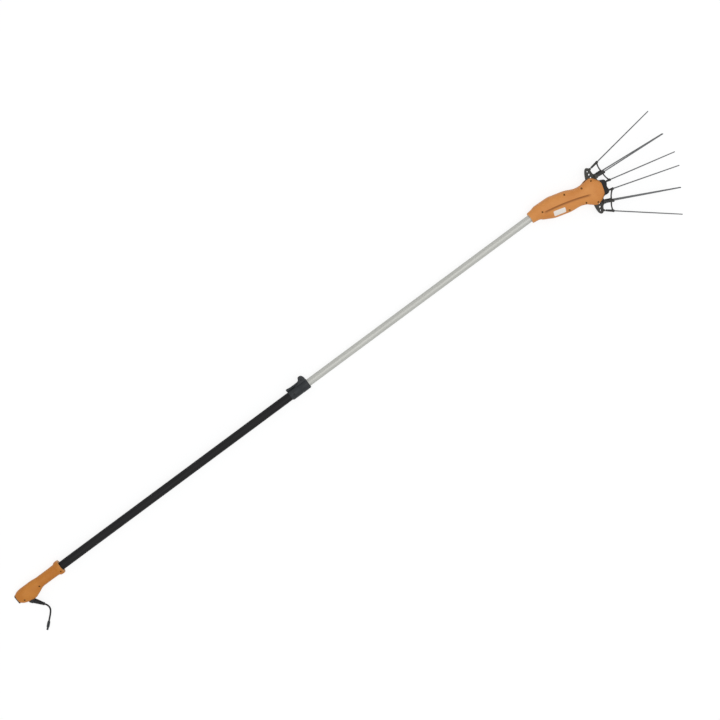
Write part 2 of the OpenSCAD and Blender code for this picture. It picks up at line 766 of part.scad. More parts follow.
module pole_lead() {
    color("black") translate([-outer_tube_seat, 0, 0]) along_x()
        cylinder(d = pole_lead_d, h = outer_tube_seat + tube_rear - bush_flange);
}
module inner_tube() {
    color("silver") difference() {
        translate([tube_rear, 0, 0]) along_x()
            tube(inner_r, inner_bore_r, bend_x - tube_end_gap - tube_rear);
        rotate([groove_turn, 0, 0])
            translate([tube_rear - overrun, -groove_w / 2, inner_r - groove_depth])
                cube([bend_x - tube_rear, groove_w, inner_r]);
    }
}
module guide_bush() {
    color("gray") difference() {
        union() {
            translate([tube_rear - bush_flange, 0, 0]) along_x()
                cylinder(r = outer_bore_r - bush_gap, h = bush_flange);
            translate([tube_rear, 0, 0]) along_x() cylinder(r = inner_bore_r, h = bush_plug);
        }
        translate([tube_rear - bush_flange - overrun, 0, 0]) along_x()
            cylinder(d = lead_d, h = bush_flange + bush_plug + 2 * overrun);
    }
}

// Head shells

front_screw_shares = [0.877, 0.79];
side_screw_shares = [[0.495, 0.58], [0.731, 0.54]];
rear_screw_share = 0.16;
front_screw_place = [head_a(front_screw_shares[0]), head_half_w * front_screw_shares[1]];
long_screw_places = concat([[head_a(rear_screw_share), 0]],
    [for (s = side_screw_shares, side = [-1, 1]) [head_a(s[0]), side * head_half_w * s[1]]]);
short_screw_places = [for (side = [-1, 1]) [front_screw_place[0], side * front_screw_place[1]]];
motor_pad_d = 16;
motor_pad_shares = [0.2, 0.75];
module head_half() {
    polyhedron([for (i = [0 : loft_stations]) each head_ring(i / loft_stations)], loft_faces);
}
function motor_pad_place(share) = motor_front - motor_len * share;
function motor_pad_top(share) = head_h(head_share(motor_pad_place(share))) - post_bury;
// the bosses and the motor pads sit in pockets in the inside of the wall
module head_bosses(d) {
    for (p = long_screw_places) translate([p[0], p[1], 0])
        cylinder(d = d, h = head_top(p[0], p[1]) - post_bury);
    for (p = short_screw_places) translate([p[0], p[1], plate_z + plate_t])
        cylinder(d = d, h = head_top(p[0], p[1]) - post_bury - plate_z - plate_t);
}
module motor_pad_set() {
    for (s = motor_pad_shares) translate([motor_pad_place(s), 0, motor_d / 2])
        cylinder(d = motor_pad_d, h = motor_pad_top(s) - motor_d / 2);
}
module head_shell_half() {
    difference() {
        head_half();
        head_bosses(head_post_d);
        motor_pad_set();
        for (p = short_screw_places) sunk_hole(p);
        children();
    }
}
module sunk_hole(p) {
    translate([p[0], p[1], -overrun])
        cylinder(d = head_screw_d + 2 * screw_gap, h = head_half_h + overrun);
    translate([p[0], p[1], head_top(p[0], p[1]) - screw_sink])
        cylinder(d = 2 * head_screw_d + 2 * screw_gap, h = head_half_h);
}
module head_shell_top() {
    color("orangered") head_frame() head_shell_half()
        for (p = long_screw_places) sunk_hole(p);
}
module head_shell_bottom() {
    color("orangered") head_frame() mirror([0, 0, 1]) head_shell_half()
        for (p = long_screw_places)
            translate([p[0], p[1], -overrun]) cylinder(d = head_screw_d, h = screw_bite + overrun);
}
module head_boss_set() {
    color("orangered") head_frame() {
        difference() {
            head_bosses(head_post_d);
            for (p = concat(long_screw_places, short_screw_places)) sunk_hole(p);
        }
        mirror([0, 0, 1]) difference() {
            head_bosses(head_post_d);
            for (p = short_screw_places) sunk_hole(p);
            for (p = long_screw_places)
                translate([p[0], p[1], -overrun]) cylinder(d = head_screw_d, h = screw_bite + overrun);
        }
    }
}
module motor_pads() {
    color("black") head_frame() for (side = [0, 1]) mirror([0, 0, side]) motor_pad_set();
}
module head_screws() {
    color("dimgray") head_frame() {
        for (p = long_screw_places) translate([p[0], p[1], -screw_bite])
            screw(head_screw_d, 2 * head_screw_d, screw_head_t,
                screw_bite + head_top(p[0], p[1]) - screw_sink);
        for (side = [0, 1], p = short_screw_places) mirror([0, 0, side])
            translate([p[0], p[1], plate_z])
                screw(head_screw_d, 2 * head_screw_d, screw_head_t,
                    head_top(p[0], p[1]) - screw_sink - plate_z);
    }
}

// Motor and reduction gear

module on_axis(a) {
    translate([a, 0, 0]) along_x() children();
}
module motor() {
    color("silver") head_frame() difference() {
        union() {
            on_axis(motor_front - motor_len) cylinder(d = motor_d, h = motor_len);
            on_axis(motor_front - motor_len - case_wall)
                cylinder(d = motor_d / 3, h = case_wall + overrun);
        }
        on_axis(motor_front - motor_len / 2)
            cylinder(d = motor_shaft_d + 2 * run_gap, h = motor_len);
    }
}
module motor_shaft() {
    color("silver") head_frame() on_axis(motor_front - motor_len / 2)
        cylinder(d = motor_shaft_d, h = motor_len / 2 + gear_rear - motor_front + gear_w);
}
module sun_gear() {
    color("goldenrod") head_frame() on_axis(gear_rear) difference() {
        gear(sun_teeth, gear_module, gear_w);
        translate([0, 0, -overrun]) cylinder(d = motor_shaft_d, h = gear_w + 2 * overrun);
    }
}
module gear_case() {
    color("gray") head_frame() difference() {
        union() {
            on_axis(case_rear) cylinder(r = case_r, h = case_len);
            on_axis(case_front) cylinder(d = bearing_d + 2 * frame_wall, h = frame_rear - case_front);
        }
        on_axis(case_rear + case_wall) rotate([0, 0, 180 / ring_teeth])
            linear_extrude(case_len - case_wall - case_front_wall)
                polygon(gear_outline(ring_teeth, gear_module, dedendum_share, addendum_share));
        on_axis(case_rear - overrun) cylinder(d = motor_shaft_d + 2 * case_wall, h = case_len);
        on_axis(case_rear) cylinder(d = shaft_d + 2 * case_wall, h = case_len + overrun);
        on_axis(case_front) cylinder(d = bearing_d, h = frame_rear - case_front + overrun);
    }
}
module planet_place(turn) {
    on_axis(gear_rear) rotate([0, 0, turn]) translate([gear_centre, 0, 0]) children();
}
module planet_gear(turn) {
    color("goldenrod") head_frame() planet_place(turn) difference() {
        rotate([0, 0, 180 / planet_teeth]) gear(planet_teeth, gear_module, gear_w);
        translate([0, 0, -overrun])
            cylinder(d = planet_pin_d + 2 * run_gap, h = gear_w + 2 * overrun);
    }
}
module planet_gear_a() planet_gear(planet_turns[0]);
module planet_gear_b() planet_gear(planet_turns[1]);
module planet_gear_c() planet_gear(planet_turns[2]);
module planet_carrier() {
    color("silver") head_frame() difference() {
        union() {
            on_axis(carrier_rear) cylinder(r = carrier_r, h = carrier_t);
            for (turn = planet_turns) planet_place(turn)
                cylinder(d = planet_pin_d, h = carrier_rear - gear_rear + overrun);
        }
        on_axis(carrier_rear - overrun) cylinder(d = shaft_d, h = carrier_t + 2 * overrun);
    }
}
module drive_shaft() {
    color("silver") head_frame() {
        on_axis(carrier_rear) cylinder(d = shaft_d, h = web_rear - carrier_rear);
        on_axis(web_rear) cylinder(r = web_r, h = web_t);
        translate([0, eccentric_throw, 0]) on_axis(web_rear + web_t)
            cylinder(d = journal_d, h = roller_a + roller_w / 2 - web_rear - web_t);
    }
}
module eccentric_roller() {
    color("gray") head_frame() translate([roller_a, eccentric_throw, 0]) difference() {
        along_x() rotate_extrude() polygon(concat(
            [[0, -roller_w / 2]],
            [for (i = [-roller_steps : roller_steps])
                let (z = roller_w / 2 * i / roller_steps)
                [sqrt(pow(roller_d / 2, 2) - z * z), z]],
            [[0, roller_w / 2]]
        ));
        translate([-roller_w, 0, 0]) along_x() cylinder(d = journal_d, h = 2 * roller_w);
    }
}
module shaft_bearings() {
    color("silver") head_frame() {
        on_axis(case_front) tube(bearing_d / 2, shaft_d / 2 + run_gap, bearing_w);
        on_axis(frame_rear) tube(bearing_d / 2, shaft_d / 2 + run_gap, bearing_w);
    }
}

// Frame that carries the comb pivots

module frame_plate() {
    difference() {
        linear_extrude(plate_t) polygon(concat(
            [for (s = frame_outline_shares)
                [frame_rear + frame_len * s[0], head_half_w * s[1]]],
            [for (i = [len(frame_outline_shares) - 1 : -1 : 0])
                [frame_rear + frame_len * frame_outline_shares[i][0],
                    -head_half_w * frame_outline_shares[i][1]]]
        ));
        for (side = [-1, 1]) translate([pivot_a, side * pivot_b, -overrun])
            cylinder(d = pivot_d, h = plate_t + 2 * overrun);
        for (p = short_screw_places) translate([p[0], p[1], -overrun])
            cylinder(d = head_screw_d, h = plate_t + 2 * overrun);
    }
}
module gear_frame() {
    color("gray") head_frame() difference() {
        union() {
            for (side = [0, 1]) mirror([0, 0, side]) translate([0, 0, plate_z]) frame_plate();
            translate([frame_rear, -head_half_w * frame_outline_shares[0][1], -plate_z - plate_t])
                cube([
                    frame_wall, 2 * head_half_w * frame_outline_shares[0][1],
                    2 * plate_z + 2 * plate_t
                ]);
        }
        on_axis(frame_rear - overrun) cylinder(d = bearing_d, h = frame_wall + 2 * overrun);
        for (p = long_screw_places) translate([p[0], p[1], -head_half_h])
            cylinder(d = head_post_d + 2 * contact_gap, h = 2 * head_half_h);
    }
}
module pivot_pins() {
    color("silver") head_frame() for (side = [-1, 1])
        translate([pivot_a, side * pivot_b, -plate_z - plate_t])
            cylinder(d = pivot_d, h = 2 * plate_z + 2 * plate_t);
}

// Comb arms: drawn for the upper, left hand comb and mirrored for the lower one

arm_outline_shares = [
    [-0.6, -0.15], [-0.62, 0.4], [-0.55, 1.3], [-0.42, 2.2], [-0.22, 2.95], [0.05, 3.35],
    [0.42, 3.4], [0.75, 3.1], [0.88, 2.5], [1, 2], [1.6, 1.75], [1.68, 1.3], [1.35, 0.9],
    [1.7, 0.5], [2.2, 0.38], [2.75, 0.3], [2.86, -0.14], [2.75, -0.6], [2.2, -0.68],
    [1.4, -0.6], [0.7, -0.58], [0, -0.58]
];
arm_hole_shares = [[0.3, 2.75], [0.36, 2.1], [0.46, 1.45]];
arm_hole_d = 7;
arm_corner_steps = 4;
function arm_corner(i) = pivot_b * arm_outline_shares[i % len(arm_outline_shares)];
// each stretch of the outline is a curve from mid side to mid side round one corner
arm_outline = [
    for (i = [0 : len(arm_outline_shares) - 1], k = [0 : arm_corner_steps - 1])
        let (
            u = k / arm_corner_steps,
            p = (arm_corner(i) + arm_corner(i + 1)) / 2,
            c = arm_corner(i + 1),
            q = (arm_corner(i + 1) + arm_corner(i + 2)) / 2
        )
        (1 - u) * (1 - u) * p + 2 * u * (1 - u) * c + u * u * q
];
module comb_frame(side) {
    head_frame() mirror([0, side == "lower" ? 1 : 0, 0]) children();
}
module at_rod(end, turn, tilt = 0) {
    translate([end[0], end[1], end[2]]) rotate([0, 0, turn]) rotate([0, tilt, 0]) along_x() children();
}
pair_tilt = atan((pair_half_h - pair_tip_h) / rod_reach);
module rod_holes(extra) {
    at_rod([outer_rod_end[0], outer_rod_end[1], 0], outer_rod_turn)
        translate([0, 0, -outer_root]) cylinder(r = rod_r + extra, h = outer_root + rod_reach);
    at_rod([inner_rod_end[0], inner_rod_end[1], 0], inner_rod_turn)
        translate([0, 0, -inner_root]) cylinder(r = rod_r + extra, h = inner_root + rod_reach);
    pair_rods(extra);
}
module pair_rods(extra) {
    for (side = [-1, 1])
        at_rod([pair_end[0], pair_end[1], side * pair_half_h], pair_turn, side * pair_tilt)
            translate([0, 0, -pair_root]) cylinder(r = rod_r + extra, h = pair_root + rod_reach);
}
pair_post_place = pair_end - pair_post_back * [cos(pair_turn), sin(pair_turn)];
pair_post_half = pair_half_h + pair_post_over + pair_post_back * tan(pair_tilt);
module comb_sector(half_steps) {
    translate([pivot_a, pivot_b, 0]) translate([0, 0, -arm_t / 2])
        linear_extrude(arm_t / 2 + sector_top) intersection() {
            rotate(-90 + 180 / comb_teeth * half_steps)
                polygon(gear_outline(comb_teeth, comb_module, addendum_share, dedendum_share));
            polygon([
                [0, 0], polar(2 * pivot_b, -90 - sector_turn), polar(2 * pivot_b, -90),
                polar(2 * pivot_b, -90 + sector_turn)
            ]);
        }
}
module comb_fork() {
    tine_rear = roller_a - fork_len / 2;
    tine_front = roller_a + fork_len / 2;
    for (side = [-1, 1])
        translate([tine_rear, eccentric_throw + side * (fork_half + fork_t / 2) - fork_t / 2, -arm_t / 2])
            cube([fork_len, fork_t, arm_t]);
    translate([tine_front - fork_t / 2, eccentric_throw - fork_half - fork_t, fork_floor])
        cube([fork_t, 2 * fork_half + 2 * fork_t, arm_t / 2 - fork_floor]);
    translate([tine_front, pivot_b - hub_r, fork_floor])
        cube([pivot_a - tine_front, fork_link_share * hub_r, arm_t / 2 - fork_floor]);
}
module comb_arm(side) {
    color("black") comb_frame(side) difference() {
        union() {
            translate([pivot_a, pivot_b, -arm_t / 2]) linear_extrude(arm_t) polygon(arm_outline);
            translate([pivot_a, pivot_b, -arm_t / 2]) cylinder(r = hub_r, h = arm_t);
            translate([pair_post_place[0], pair_post_place[1], -pair_post_half])
                cylinder(d = pair_post_d, h = 2 * pair_post_half);
            children();
        }
        translate([pivot_a, pivot_b, -arm_t])
            cylinder(r = pivot_d / 2 + pivot_bush_t, h = 2 * arm_t);
        for (s = arm_hole_shares)
            translate([pivot_a + pivot_b * s[0], pivot_b + pivot_b * s[1], -arm_t])
                cylinder(d = arm_hole_d, h = 2 * arm_t);
        rod_holes(rod_fit);
    }
}
module comb_bush(side) {
    color("goldenrod") comb_frame(side) translate([pivot_a, pivot_b, -arm_t / 2])
        tube(pivot_d / 2 + pivot_bush_t, pivot_d / 2 + run_gap, arm_t);
}
module rod(end, turn, root) {
    at_rod([end[0], end[1], 0], turn) translate([0, 0, -root]) cylinder(r = rod_r, h = root + rod_reach);
}
module outer_rod(side) {
    color("dimgray") comb_frame(side) rod(outer_rod_end, outer_rod_turn, outer_root);
}
module inner_rod(side) {
    color("dimgray") comb_frame(side) rod(inner_rod_end, inner_rod_turn, inner_root);
}
module paired_rods(side) {
    color("dimgray") comb_frame(side) pair_rods(0);
}
function strap_mid(from, to, u) =
    let (c = (from + to) / 2 - [strap_bow, 0])
    (1 - u) * (1 - u) * from + 2 * u * (1 - u) * c + u * u * to;
function strap_side(from, to, u, side) =
    let (
        ahead = strap_mid(from, to, u + strap_slope_share),
        behind = strap_mid(from, to, u - strap_slope_share),
        d = unit(ahead - behind)
    )
    strap_mid(from, to, u) + side * strap_t / 2 * [-d[1], d[0]];
module strap_run(from, to) {
    translate([0, 0, -strap_h / 2]) linear_extrude(strap_h) polygon(concat(
        [for (i = [0 : strap_steps]) strap_side(from, to, i / strap_steps, 1)],
        [for (i = [strap_steps : -1 : 0]) strap_side(from, to, i / strap_steps, -1)]
    ));
}
module sleeve(end, turn, len, tilt = 0) {
    at_rod(end, turn, tilt) translate([0, 0, -len])
        cylinder(d1 = sleeve_rear_d, d2 = sleeve_d, h = len);
}
module comb_strap(side) {
    back = sleeve_d / 2;
    outer_joint = outer_rod_end - back * [cos(outer_rod_turn), sin(outer_rod_turn)];
    pair_joint = pair_end - back * [cos(pair_turn), sin(pair_turn)];
    inner_joint = inner_rod_end - back * [cos(inner_rod_turn), sin(inner_rod_turn)];
    color("black") comb_frame(side) difference() {
        union() {
            sleeve([outer_rod_end[0], outer_rod_end[1], 0], outer_rod_turn, outer_sleeve_len);
            sleeve([inner_rod_end[0], inner_rod_end[1], 0], inner_rod_turn, inner_sleeve_len);
            for (z = [-1, 1])
                sleeve([pair_end[0], pair_end[1], z * pair_half_h], pair_turn, pair_sleeve_len,
                    z * pair_tilt);
            translate([pair_joint[0], pair_joint[1], -pair_half_h])
                cylinder(d = strap_t, h = 2 * pair_half_h);
            strap_run(outer_joint, pair_joint);
            strap_run(pair_joint, inner_joint);
        }
        rod_holes(rod_fit);
    }
}
module upper_arm() {
    comb_arm("upper") {
        comb_sector(0);
        comb_fork();
    }
}
module lower_arm() {
    comb_arm("lower") comb_sector(1);
}
module upper_bush() comb_bush("upper");
module lower_bush() comb_bush("lower");
module upper_outer_rod() outer_rod("upper");
module lower_outer_rod() outer_rod("lower");
module upper_paired_rods() paired_rods("upper");
module lower_paired_rods() paired_rods("lower");
module upper_inner_rod() inner_rod("upper");
module lower_inner_rod() inner_rod("lower");
module upper_strap() comb_strap("upper");
module lower_strap() comb_strap("lower");

handle_shell_top();
handle_shell_bottom();
handle_screws();
switch_frame();
switch_rocker();
strain_relief();
power_lead();
lead_plug();
outer_tube();
clamp_collar();
clamp_pad();
clamp_lever();
lever_pin();
wiper_ring();
collar_screws();
pole_lead();
inner_tube();
guide_bush();
head_shell_top();
head_shell_bottom();
head_boss_set();
head_screws();
motor_pads();
motor();
motor_shaft();
sun_gear();
gear_case();
planet_carrier();
drive_shaft();
planet_gear_a();
planet_gear_b();
planet_gear_c();
shaft_bearings();
gear_frame();
eccentric_roller();
pivot_pins();
upper_arm();
upper_bush();
upper_outer_rod();
upper_paired_rods();
upper_inner_rod();
upper_strap();
lower_arm();
lower_bush();
lower_outer_rod();
lower_paired_rods();
lower_inner_rod();
lower_strap();
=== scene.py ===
# %% [markdown]
# # Electric olive harvester
# A telescopic pole carries a switched handle at its rear end and a geared head at its front end.
# The head swings two combs of carbon rods that strip olives from the twigs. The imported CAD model
# is the fixed frame of this lesson: it gives every place and every moving body. Each step below
# dresses one part of it with finer meshes and with finishes made from shader nodes alone.

import json
import math

import bmesh
import bpy
from mathutils import Matrix, Vector
from mathutils.geometry import tessellate_polygon

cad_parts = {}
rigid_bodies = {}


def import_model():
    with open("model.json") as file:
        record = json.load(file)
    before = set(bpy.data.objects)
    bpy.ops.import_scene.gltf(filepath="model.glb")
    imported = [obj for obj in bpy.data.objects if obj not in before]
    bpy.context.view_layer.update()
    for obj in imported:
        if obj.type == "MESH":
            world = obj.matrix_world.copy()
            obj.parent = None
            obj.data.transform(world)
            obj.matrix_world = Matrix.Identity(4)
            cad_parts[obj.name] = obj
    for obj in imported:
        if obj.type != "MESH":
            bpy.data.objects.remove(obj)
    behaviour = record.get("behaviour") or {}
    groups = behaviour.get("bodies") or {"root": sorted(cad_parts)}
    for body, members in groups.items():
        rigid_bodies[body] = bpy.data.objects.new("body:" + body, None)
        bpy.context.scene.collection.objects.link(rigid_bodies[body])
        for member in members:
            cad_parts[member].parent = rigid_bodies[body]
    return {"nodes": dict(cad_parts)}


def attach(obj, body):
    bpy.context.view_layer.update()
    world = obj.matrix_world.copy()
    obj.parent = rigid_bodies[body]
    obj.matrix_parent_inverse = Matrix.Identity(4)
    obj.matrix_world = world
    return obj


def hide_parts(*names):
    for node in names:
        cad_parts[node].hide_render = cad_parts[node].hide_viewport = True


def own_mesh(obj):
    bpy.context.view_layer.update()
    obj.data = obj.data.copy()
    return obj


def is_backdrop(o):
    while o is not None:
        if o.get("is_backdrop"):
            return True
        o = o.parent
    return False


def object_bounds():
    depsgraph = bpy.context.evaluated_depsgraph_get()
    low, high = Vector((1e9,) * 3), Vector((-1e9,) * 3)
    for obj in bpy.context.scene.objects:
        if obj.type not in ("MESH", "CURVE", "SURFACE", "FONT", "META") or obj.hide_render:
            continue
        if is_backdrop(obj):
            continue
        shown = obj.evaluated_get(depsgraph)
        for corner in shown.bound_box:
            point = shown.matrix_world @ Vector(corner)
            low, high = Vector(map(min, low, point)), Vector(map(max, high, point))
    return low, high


for left_over in list(bpy.data.objects):
    bpy.data.objects.remove(left_over)
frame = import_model()
nodes = frame["nodes"]
cad_low, cad_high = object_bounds()
scene = bpy.context.scene
MM = 0.001


def put(name, data):
    """A new object in the scene."""
    made = bpy.data.objects.new(name, data)
    scene.collection.objects.link(made)
    return made


print("CAD box in mm:", [round(v / MM) for v in cad_high - cad_low])

# %% [markdown]
# ## Camera
# The tool lies flat and is seen from almost straight above, with the pole climbing to the upper
# right. The camera could be aimed by eye, but a long thin object shows a small error at once, so
# its place was solved from about twenty points that are easy to name on the tool: rod ends,
# screws, the clamp and the lead. A long lens from six metres keeps the pole's two tubes parallel.

# %% The camera
LENS, SENSOR, FAR_CLIP = 81.34, 36, 200
CAMERA_PLACE, CAMERA_TURNS = (1.4881, 1.2125, 6.375), (-9.246, -6.374, -36.063)
camera_data = bpy.data.cameras.new("studio_camera")
camera_data.sensor_width = SENSOR
camera_data.lens = LENS
camera_data.clip_end = FAR_CLIP
camera = put("studio_camera", camera_data)
camera.location = CAMERA_PLACE
camera.rotation_euler = [math.radians(turn) for turn in CAMERA_TURNS]
scene.camera = camera
print("camera stands", round(camera.location.length, 2), "m from the handle's mouth")

# %% [markdown]
# ## Power lead
# A short rubber lead leaves the belly of the handle through a bend guard, sinks to the ground and
# ends in a round connector. A mesh tube would do, but a curve with a round bevel keeps one clean
# centre line whose length and bends can be measured. Its points are those of the CAD solid, from
# the base of the guard on.

# %% The lead's centre line
LEAD_RADIUS, LEAD_ROUNDNESS, LEAD_STEPS = 3.5, 6, 8
lead_route = [
    (-177.5, -38.5, 0), (-169.5, -50.5, 0), (-162, -62, 0), (-154.5, -73.5, 0),
    (-146.5, -85.5, 0), (-142.5, -93, -0.5), (-141, -99.5, -1.5), (-141, -106, -3),
    (-142.5, -112.5, -5), (-145.5, -118.5, -7.5), (-149.5, -124, -10), (-154.5, -129.5, -12.5),
    (-160, -135, -15), (-165.5, -140, -17.5), (-171, -145, -19), (-176.5, -150, -20),
    (-182, -155, -20),
]
lead_curve = bpy.data.curves.new("lead_line", "CURVE")
lead_curve.dimensions = "3D"
lead_curve.bevel_depth = LEAD_RADIUS * MM
lead_curve.bevel_resolution = LEAD_ROUNDNESS
lead_curve.use_fill_caps = True
lead_line = lead_curve.splines.new("BEZIER")
lead_line.resolution_u = LEAD_STEPS
lead_line.bezier_points.add(len(lead_route) - 1)
for knot, place in zip(lead_line.bezier_points, lead_route):
    knot.co = Vector(place) * MM
    knot.handle_left_type = knot.handle_right_type = "AUTO"
power_lead = put("rubber_lead", lead_curve)

# %% [markdown]
# ## Shader sums
# Every finish below mixes a few noises into colour, roughness and relief. Wiring Math nodes one by
# one is slow to read, so one small class wraps a socket: ordinary sums on it add the Math nodes,
# and one method adds any other node from its type, its settings and its sockets.

# %% The ink class
MIX_SHARE, MIX_FIRST, MIX_SECOND, MIX_COLOUR = 0, 6, 7, 2


class Ink:
    """A node socket that takes part in sums, so that 1 - mask adds a Math node."""

    def __init__(self, tree, socket=None):
        self.tree = tree
        self.socket = socket

    def node(self, kind, settings=None, sockets=None, output=0):
        """Adds one node: its settings first, then the values or links of its sockets."""
        made = self.tree.nodes.new("ShaderNode" + kind)
        for name, value in (settings or {}).items():
            setattr(made, name, value)
        for name, value in (sockets or {}).items():
            if isinstance(value, Ink):
                self.tree.links.new(value.socket, made.inputs[name])
            else:
                made.inputs[name].default_value = value
        return Ink(self.tree, made.outputs[output]) if len(made.outputs) else None

    def maths(self, operation, *terms, clamp=False):
        settings = {"operation": operation, "use_clamp": clamp}
        return self.node("Math", settings, dict(enumerate(terms)))

    def __add__(self, other):
        return self.maths("ADD", self, other)

    def __rsub__(self, other):
        return self.maths("SUBTRACT", other, self)

    def __mul__(self, other):
        return self.maths("MULTIPLY", self, other)

    __radd__ = __add__
    __rmul__ = __mul__

    def ramp(self, low=0.3, high=0.7):
        """0 below low and 1 above high, which by default spans the middle of a noise."""
        gain = 1 / (high - low)
        return self.maths("MULTIPLY_ADD", self, gain, -low * gain, clamp=True)

    def between(self, first, second):
        """A colour that goes from the first at 0 to the second at 1."""
        sockets = {MIX_SHARE: self, MIX_FIRST: first, MIX_SECOND: second}
        return self.node("Mix", {"data_type": "RGBA"}, sockets, MIX_COLOUR)


def paint(red, green, blue):
    """A colour as picked on screen, from 0 to 255, as the shader's linear numbers."""
    shares = [c / 255 for c in (red, green, blue)]
    linear = [c / 12.92 if c <= 0.04045 else ((c + 0.055) / 1.055) ** 2.4 for c in shares]
    return (*linear, 1.0)


print("mid grey is", [round(c, 3) for c in paint(128, 128, 128)[:3]])

# %% [markdown]
# ## Starting and closing a finish
# A finish starts as an empty node tree and ends in one Principled shader. Small helpers keep the
# finishes short: one reads a noise at the surface's own place in metres, so that grain has its
# real size on every piece, one finds the worn edges, and one joins colour, roughness and relief
# to the shader.

# %% Finish helpers
BUMP_STRENGTH = 0.6


def new_finish(name):
    """A material with an empty node tree, and the ink to write in it."""
    material = bpy.data.materials.new(name)
    material.use_nodes = True
    material.node_tree.nodes.clear()
    return material, Ink(material.node_tree)


def grain(ink, scale, detail=3.0, stretch=(1, 1, 1), source="Object"):
    """Noise with about scale spots to a metre, drawn out where stretch is below 1."""
    if source == "Object":
        place = ink.node("TexCoord", output="Object")
    else:
        place = ink.node("Attribute", {"attribute_name": source}, output="Vector")
    place = ink.node("Mapping", {}, {"Vector": place, "Scale": stretch})
    return ink.node("TexNoise", {}, {"Vector": place, "Scale": scale, "Detail": detail})


def edges(ink, start=0.52, full=0.6):
    """1 on the worn outer edges of a piece."""
    return ink.node("NewGeometry", output="Pointiness").ramp(start, full)


def seal(material, ink, base, rough, relief, depth, **fixed):
    """Joins colour, roughness and a relief of some depth in mm to the shader."""
    sockets = {"Base Color": base, "Roughness": rough}
    bump = {"Strength": BUMP_STRENGTH, "Distance": depth * MM, "Height": relief}
    sockets["Normal"] = ink.node("Bump", {}, bump)
    sockets.update({name.replace("_", " "): value for name, value in fixed.items()})
    shader = ink.node("BsdfPrincipled", {}, sockets)
    ink.node("OutputMaterial", {}, {"Surface": shader})
    print("finish", material.name, "has", len(material.node_tree.nodes), "nodes")
    return material


print("relief strength of every finish:", BUMP_STRENGTH)

# %% [markdown]
# ## Moulded amber shells
# The handle and the head are injection moulded in an amber orange nylon. Real mouldings are never
# one colour: the pigment clouds a little, the spark-eroded mould leaves a fine grain, and handling
# leaves pale scuffs along the length and rubbed edges. Clouds, grain and scuffs are one noise each,
# and the rubbed edges show where the mesh bends sharply. The crease gets a painted shade, a dark
# brown laid on from an attribute of the mesh, which is 0 away from the crease.

# %% Amber shell finish
# The second colour is the dark brown of the painted shade in the head's crease.
SCUFF_PALE, CREASE_SHADE_BROWN = paint(236, 184, 122), paint(124, 68, 28)


def amber_shell(name, deep, light):
    material, ink = new_finish(name)
    cloud = grain(ink, 16, 4).ramp()
    pores = grain(ink, 1500, 2)
    scuffs = grain(ink, 60, 5, (0.35, 5, 5)).ramp(0.63, 0.8)
    rubbed = edges(ink)
    colour = cloud.between(deep, light)
    colour = (scuffs * 0.3 + rubbed * 0.35).between(colour, SCUFF_PALE)
    # Painted shade: an attribute of the mesh darkens the crease toward that brown.
    shade_and_soil = ink.node("Attribute", {"attribute_name": "shade_and_soil"}, output="Fac")
    colour = (shade_and_soil * (0.65 + cloud * 0.2)).between(colour, CREASE_SHADE_BROWN)
    rough = 0.42 + cloud * 0.1 + scuffs * 0.15 + shade_and_soil * 0.1
    relief = pores + scuffs * 0.6
    return seal(material, ink, colour, rough, relief, 0.12, Specular_IOR_Level=0.2)


head_amber = amber_shell("head_amber", paint(199, 127, 64), paint(212, 143, 77))
handle_amber = amber_shell("handle_amber", paint(178, 108, 40), paint(194, 125, 52))

# %% [markdown]
# ## Black mouldings and rubber
# The clamp, the comb arms and the switch are black glass-filled nylon: glass fibres show as faint
# pale flecks and make the surface satin. The lead, the guard and the comb straps are softer and
# duller. One function with a few settings covers all of them, and the pale nylon of the guides in
# the pole as well.

# %% Black finishes
DUST_GREY = paint(128, 130, 132)


def black_moulding(name, dark, pale, rough, fleck):
    material, ink = new_finish(name)
    cloud = grain(ink, 40, 4).ramp(0.25, 0.75)
    flecks = grain(ink, 900, 2, (0.4, 1, 1)).ramp(0.58, 0.75)
    dust = grain(ink, 25, 5).ramp(0.55, 0.8)
    colour = cloud.between(dark, pale)
    colour = (flecks * fleck + dust * 0.06 + edges(ink) * 0.12).between(colour, DUST_GREY)
    surface = rough + cloud * 0.1 + dust * 0.1
    pores = grain(ink, 1300, 2) + flecks * 0.4
    return seal(material, ink, colour, surface, pores, 0.1, Specular_IOR_Level=0.22)


black_nylon = black_moulding("black_nylon", paint(32, 35, 37), paint(42, 45, 48), 0.45, 0.07)
black_rubber = black_moulding("black_rubber", paint(23, 23, 23), paint(32, 32, 32), 0.6, 0.03)
strap_rubber = black_moulding("strap_rubber", paint(51, 50, 48), paint(61, 60, 58), 0.55, 0.04)
arm_nylon = black_moulding("arm_nylon", paint(50, 49, 45), paint(64, 63, 58), 0.45, 0.08)
grey_nylon = black_moulding("grey_nylon", paint(150, 150, 148), paint(166, 166, 163), 0.45, 0.1)

# %% [markdown]
# ## Pole tubes
# The rear tube is charcoal powder coat, matte with a faint orange peel and fine rub marks along it
# from handling. The front tube is drawn aluminium, satin anodised: die lines run along it, so its
# noise is drawn out two hundred and fifty times along the pole.

# %% Tube finishes
RUB_GREY, NICK_GREY = paint(96, 96, 98), paint(160, 160, 157)


def coated_tube():
    material, ink = new_finish("charcoal_coat")
    peel = grain(ink, 420, 2)
    cloud = grain(ink, 9, 4).ramp()
    marks = grain(ink, 500, 3, (0.01, 1, 1)).ramp(0.6, 0.74)
    colour = cloud.between(paint(21, 20, 21), paint(29, 28, 29))
    colour = (marks * 0.12).between(colour, RUB_GREY)
    rough = 0.52 + cloud * 0.08 + marks * 0.08
    return seal(material, ink, colour, rough, peel, 0.06, Specular_IOR_Level=0.15)


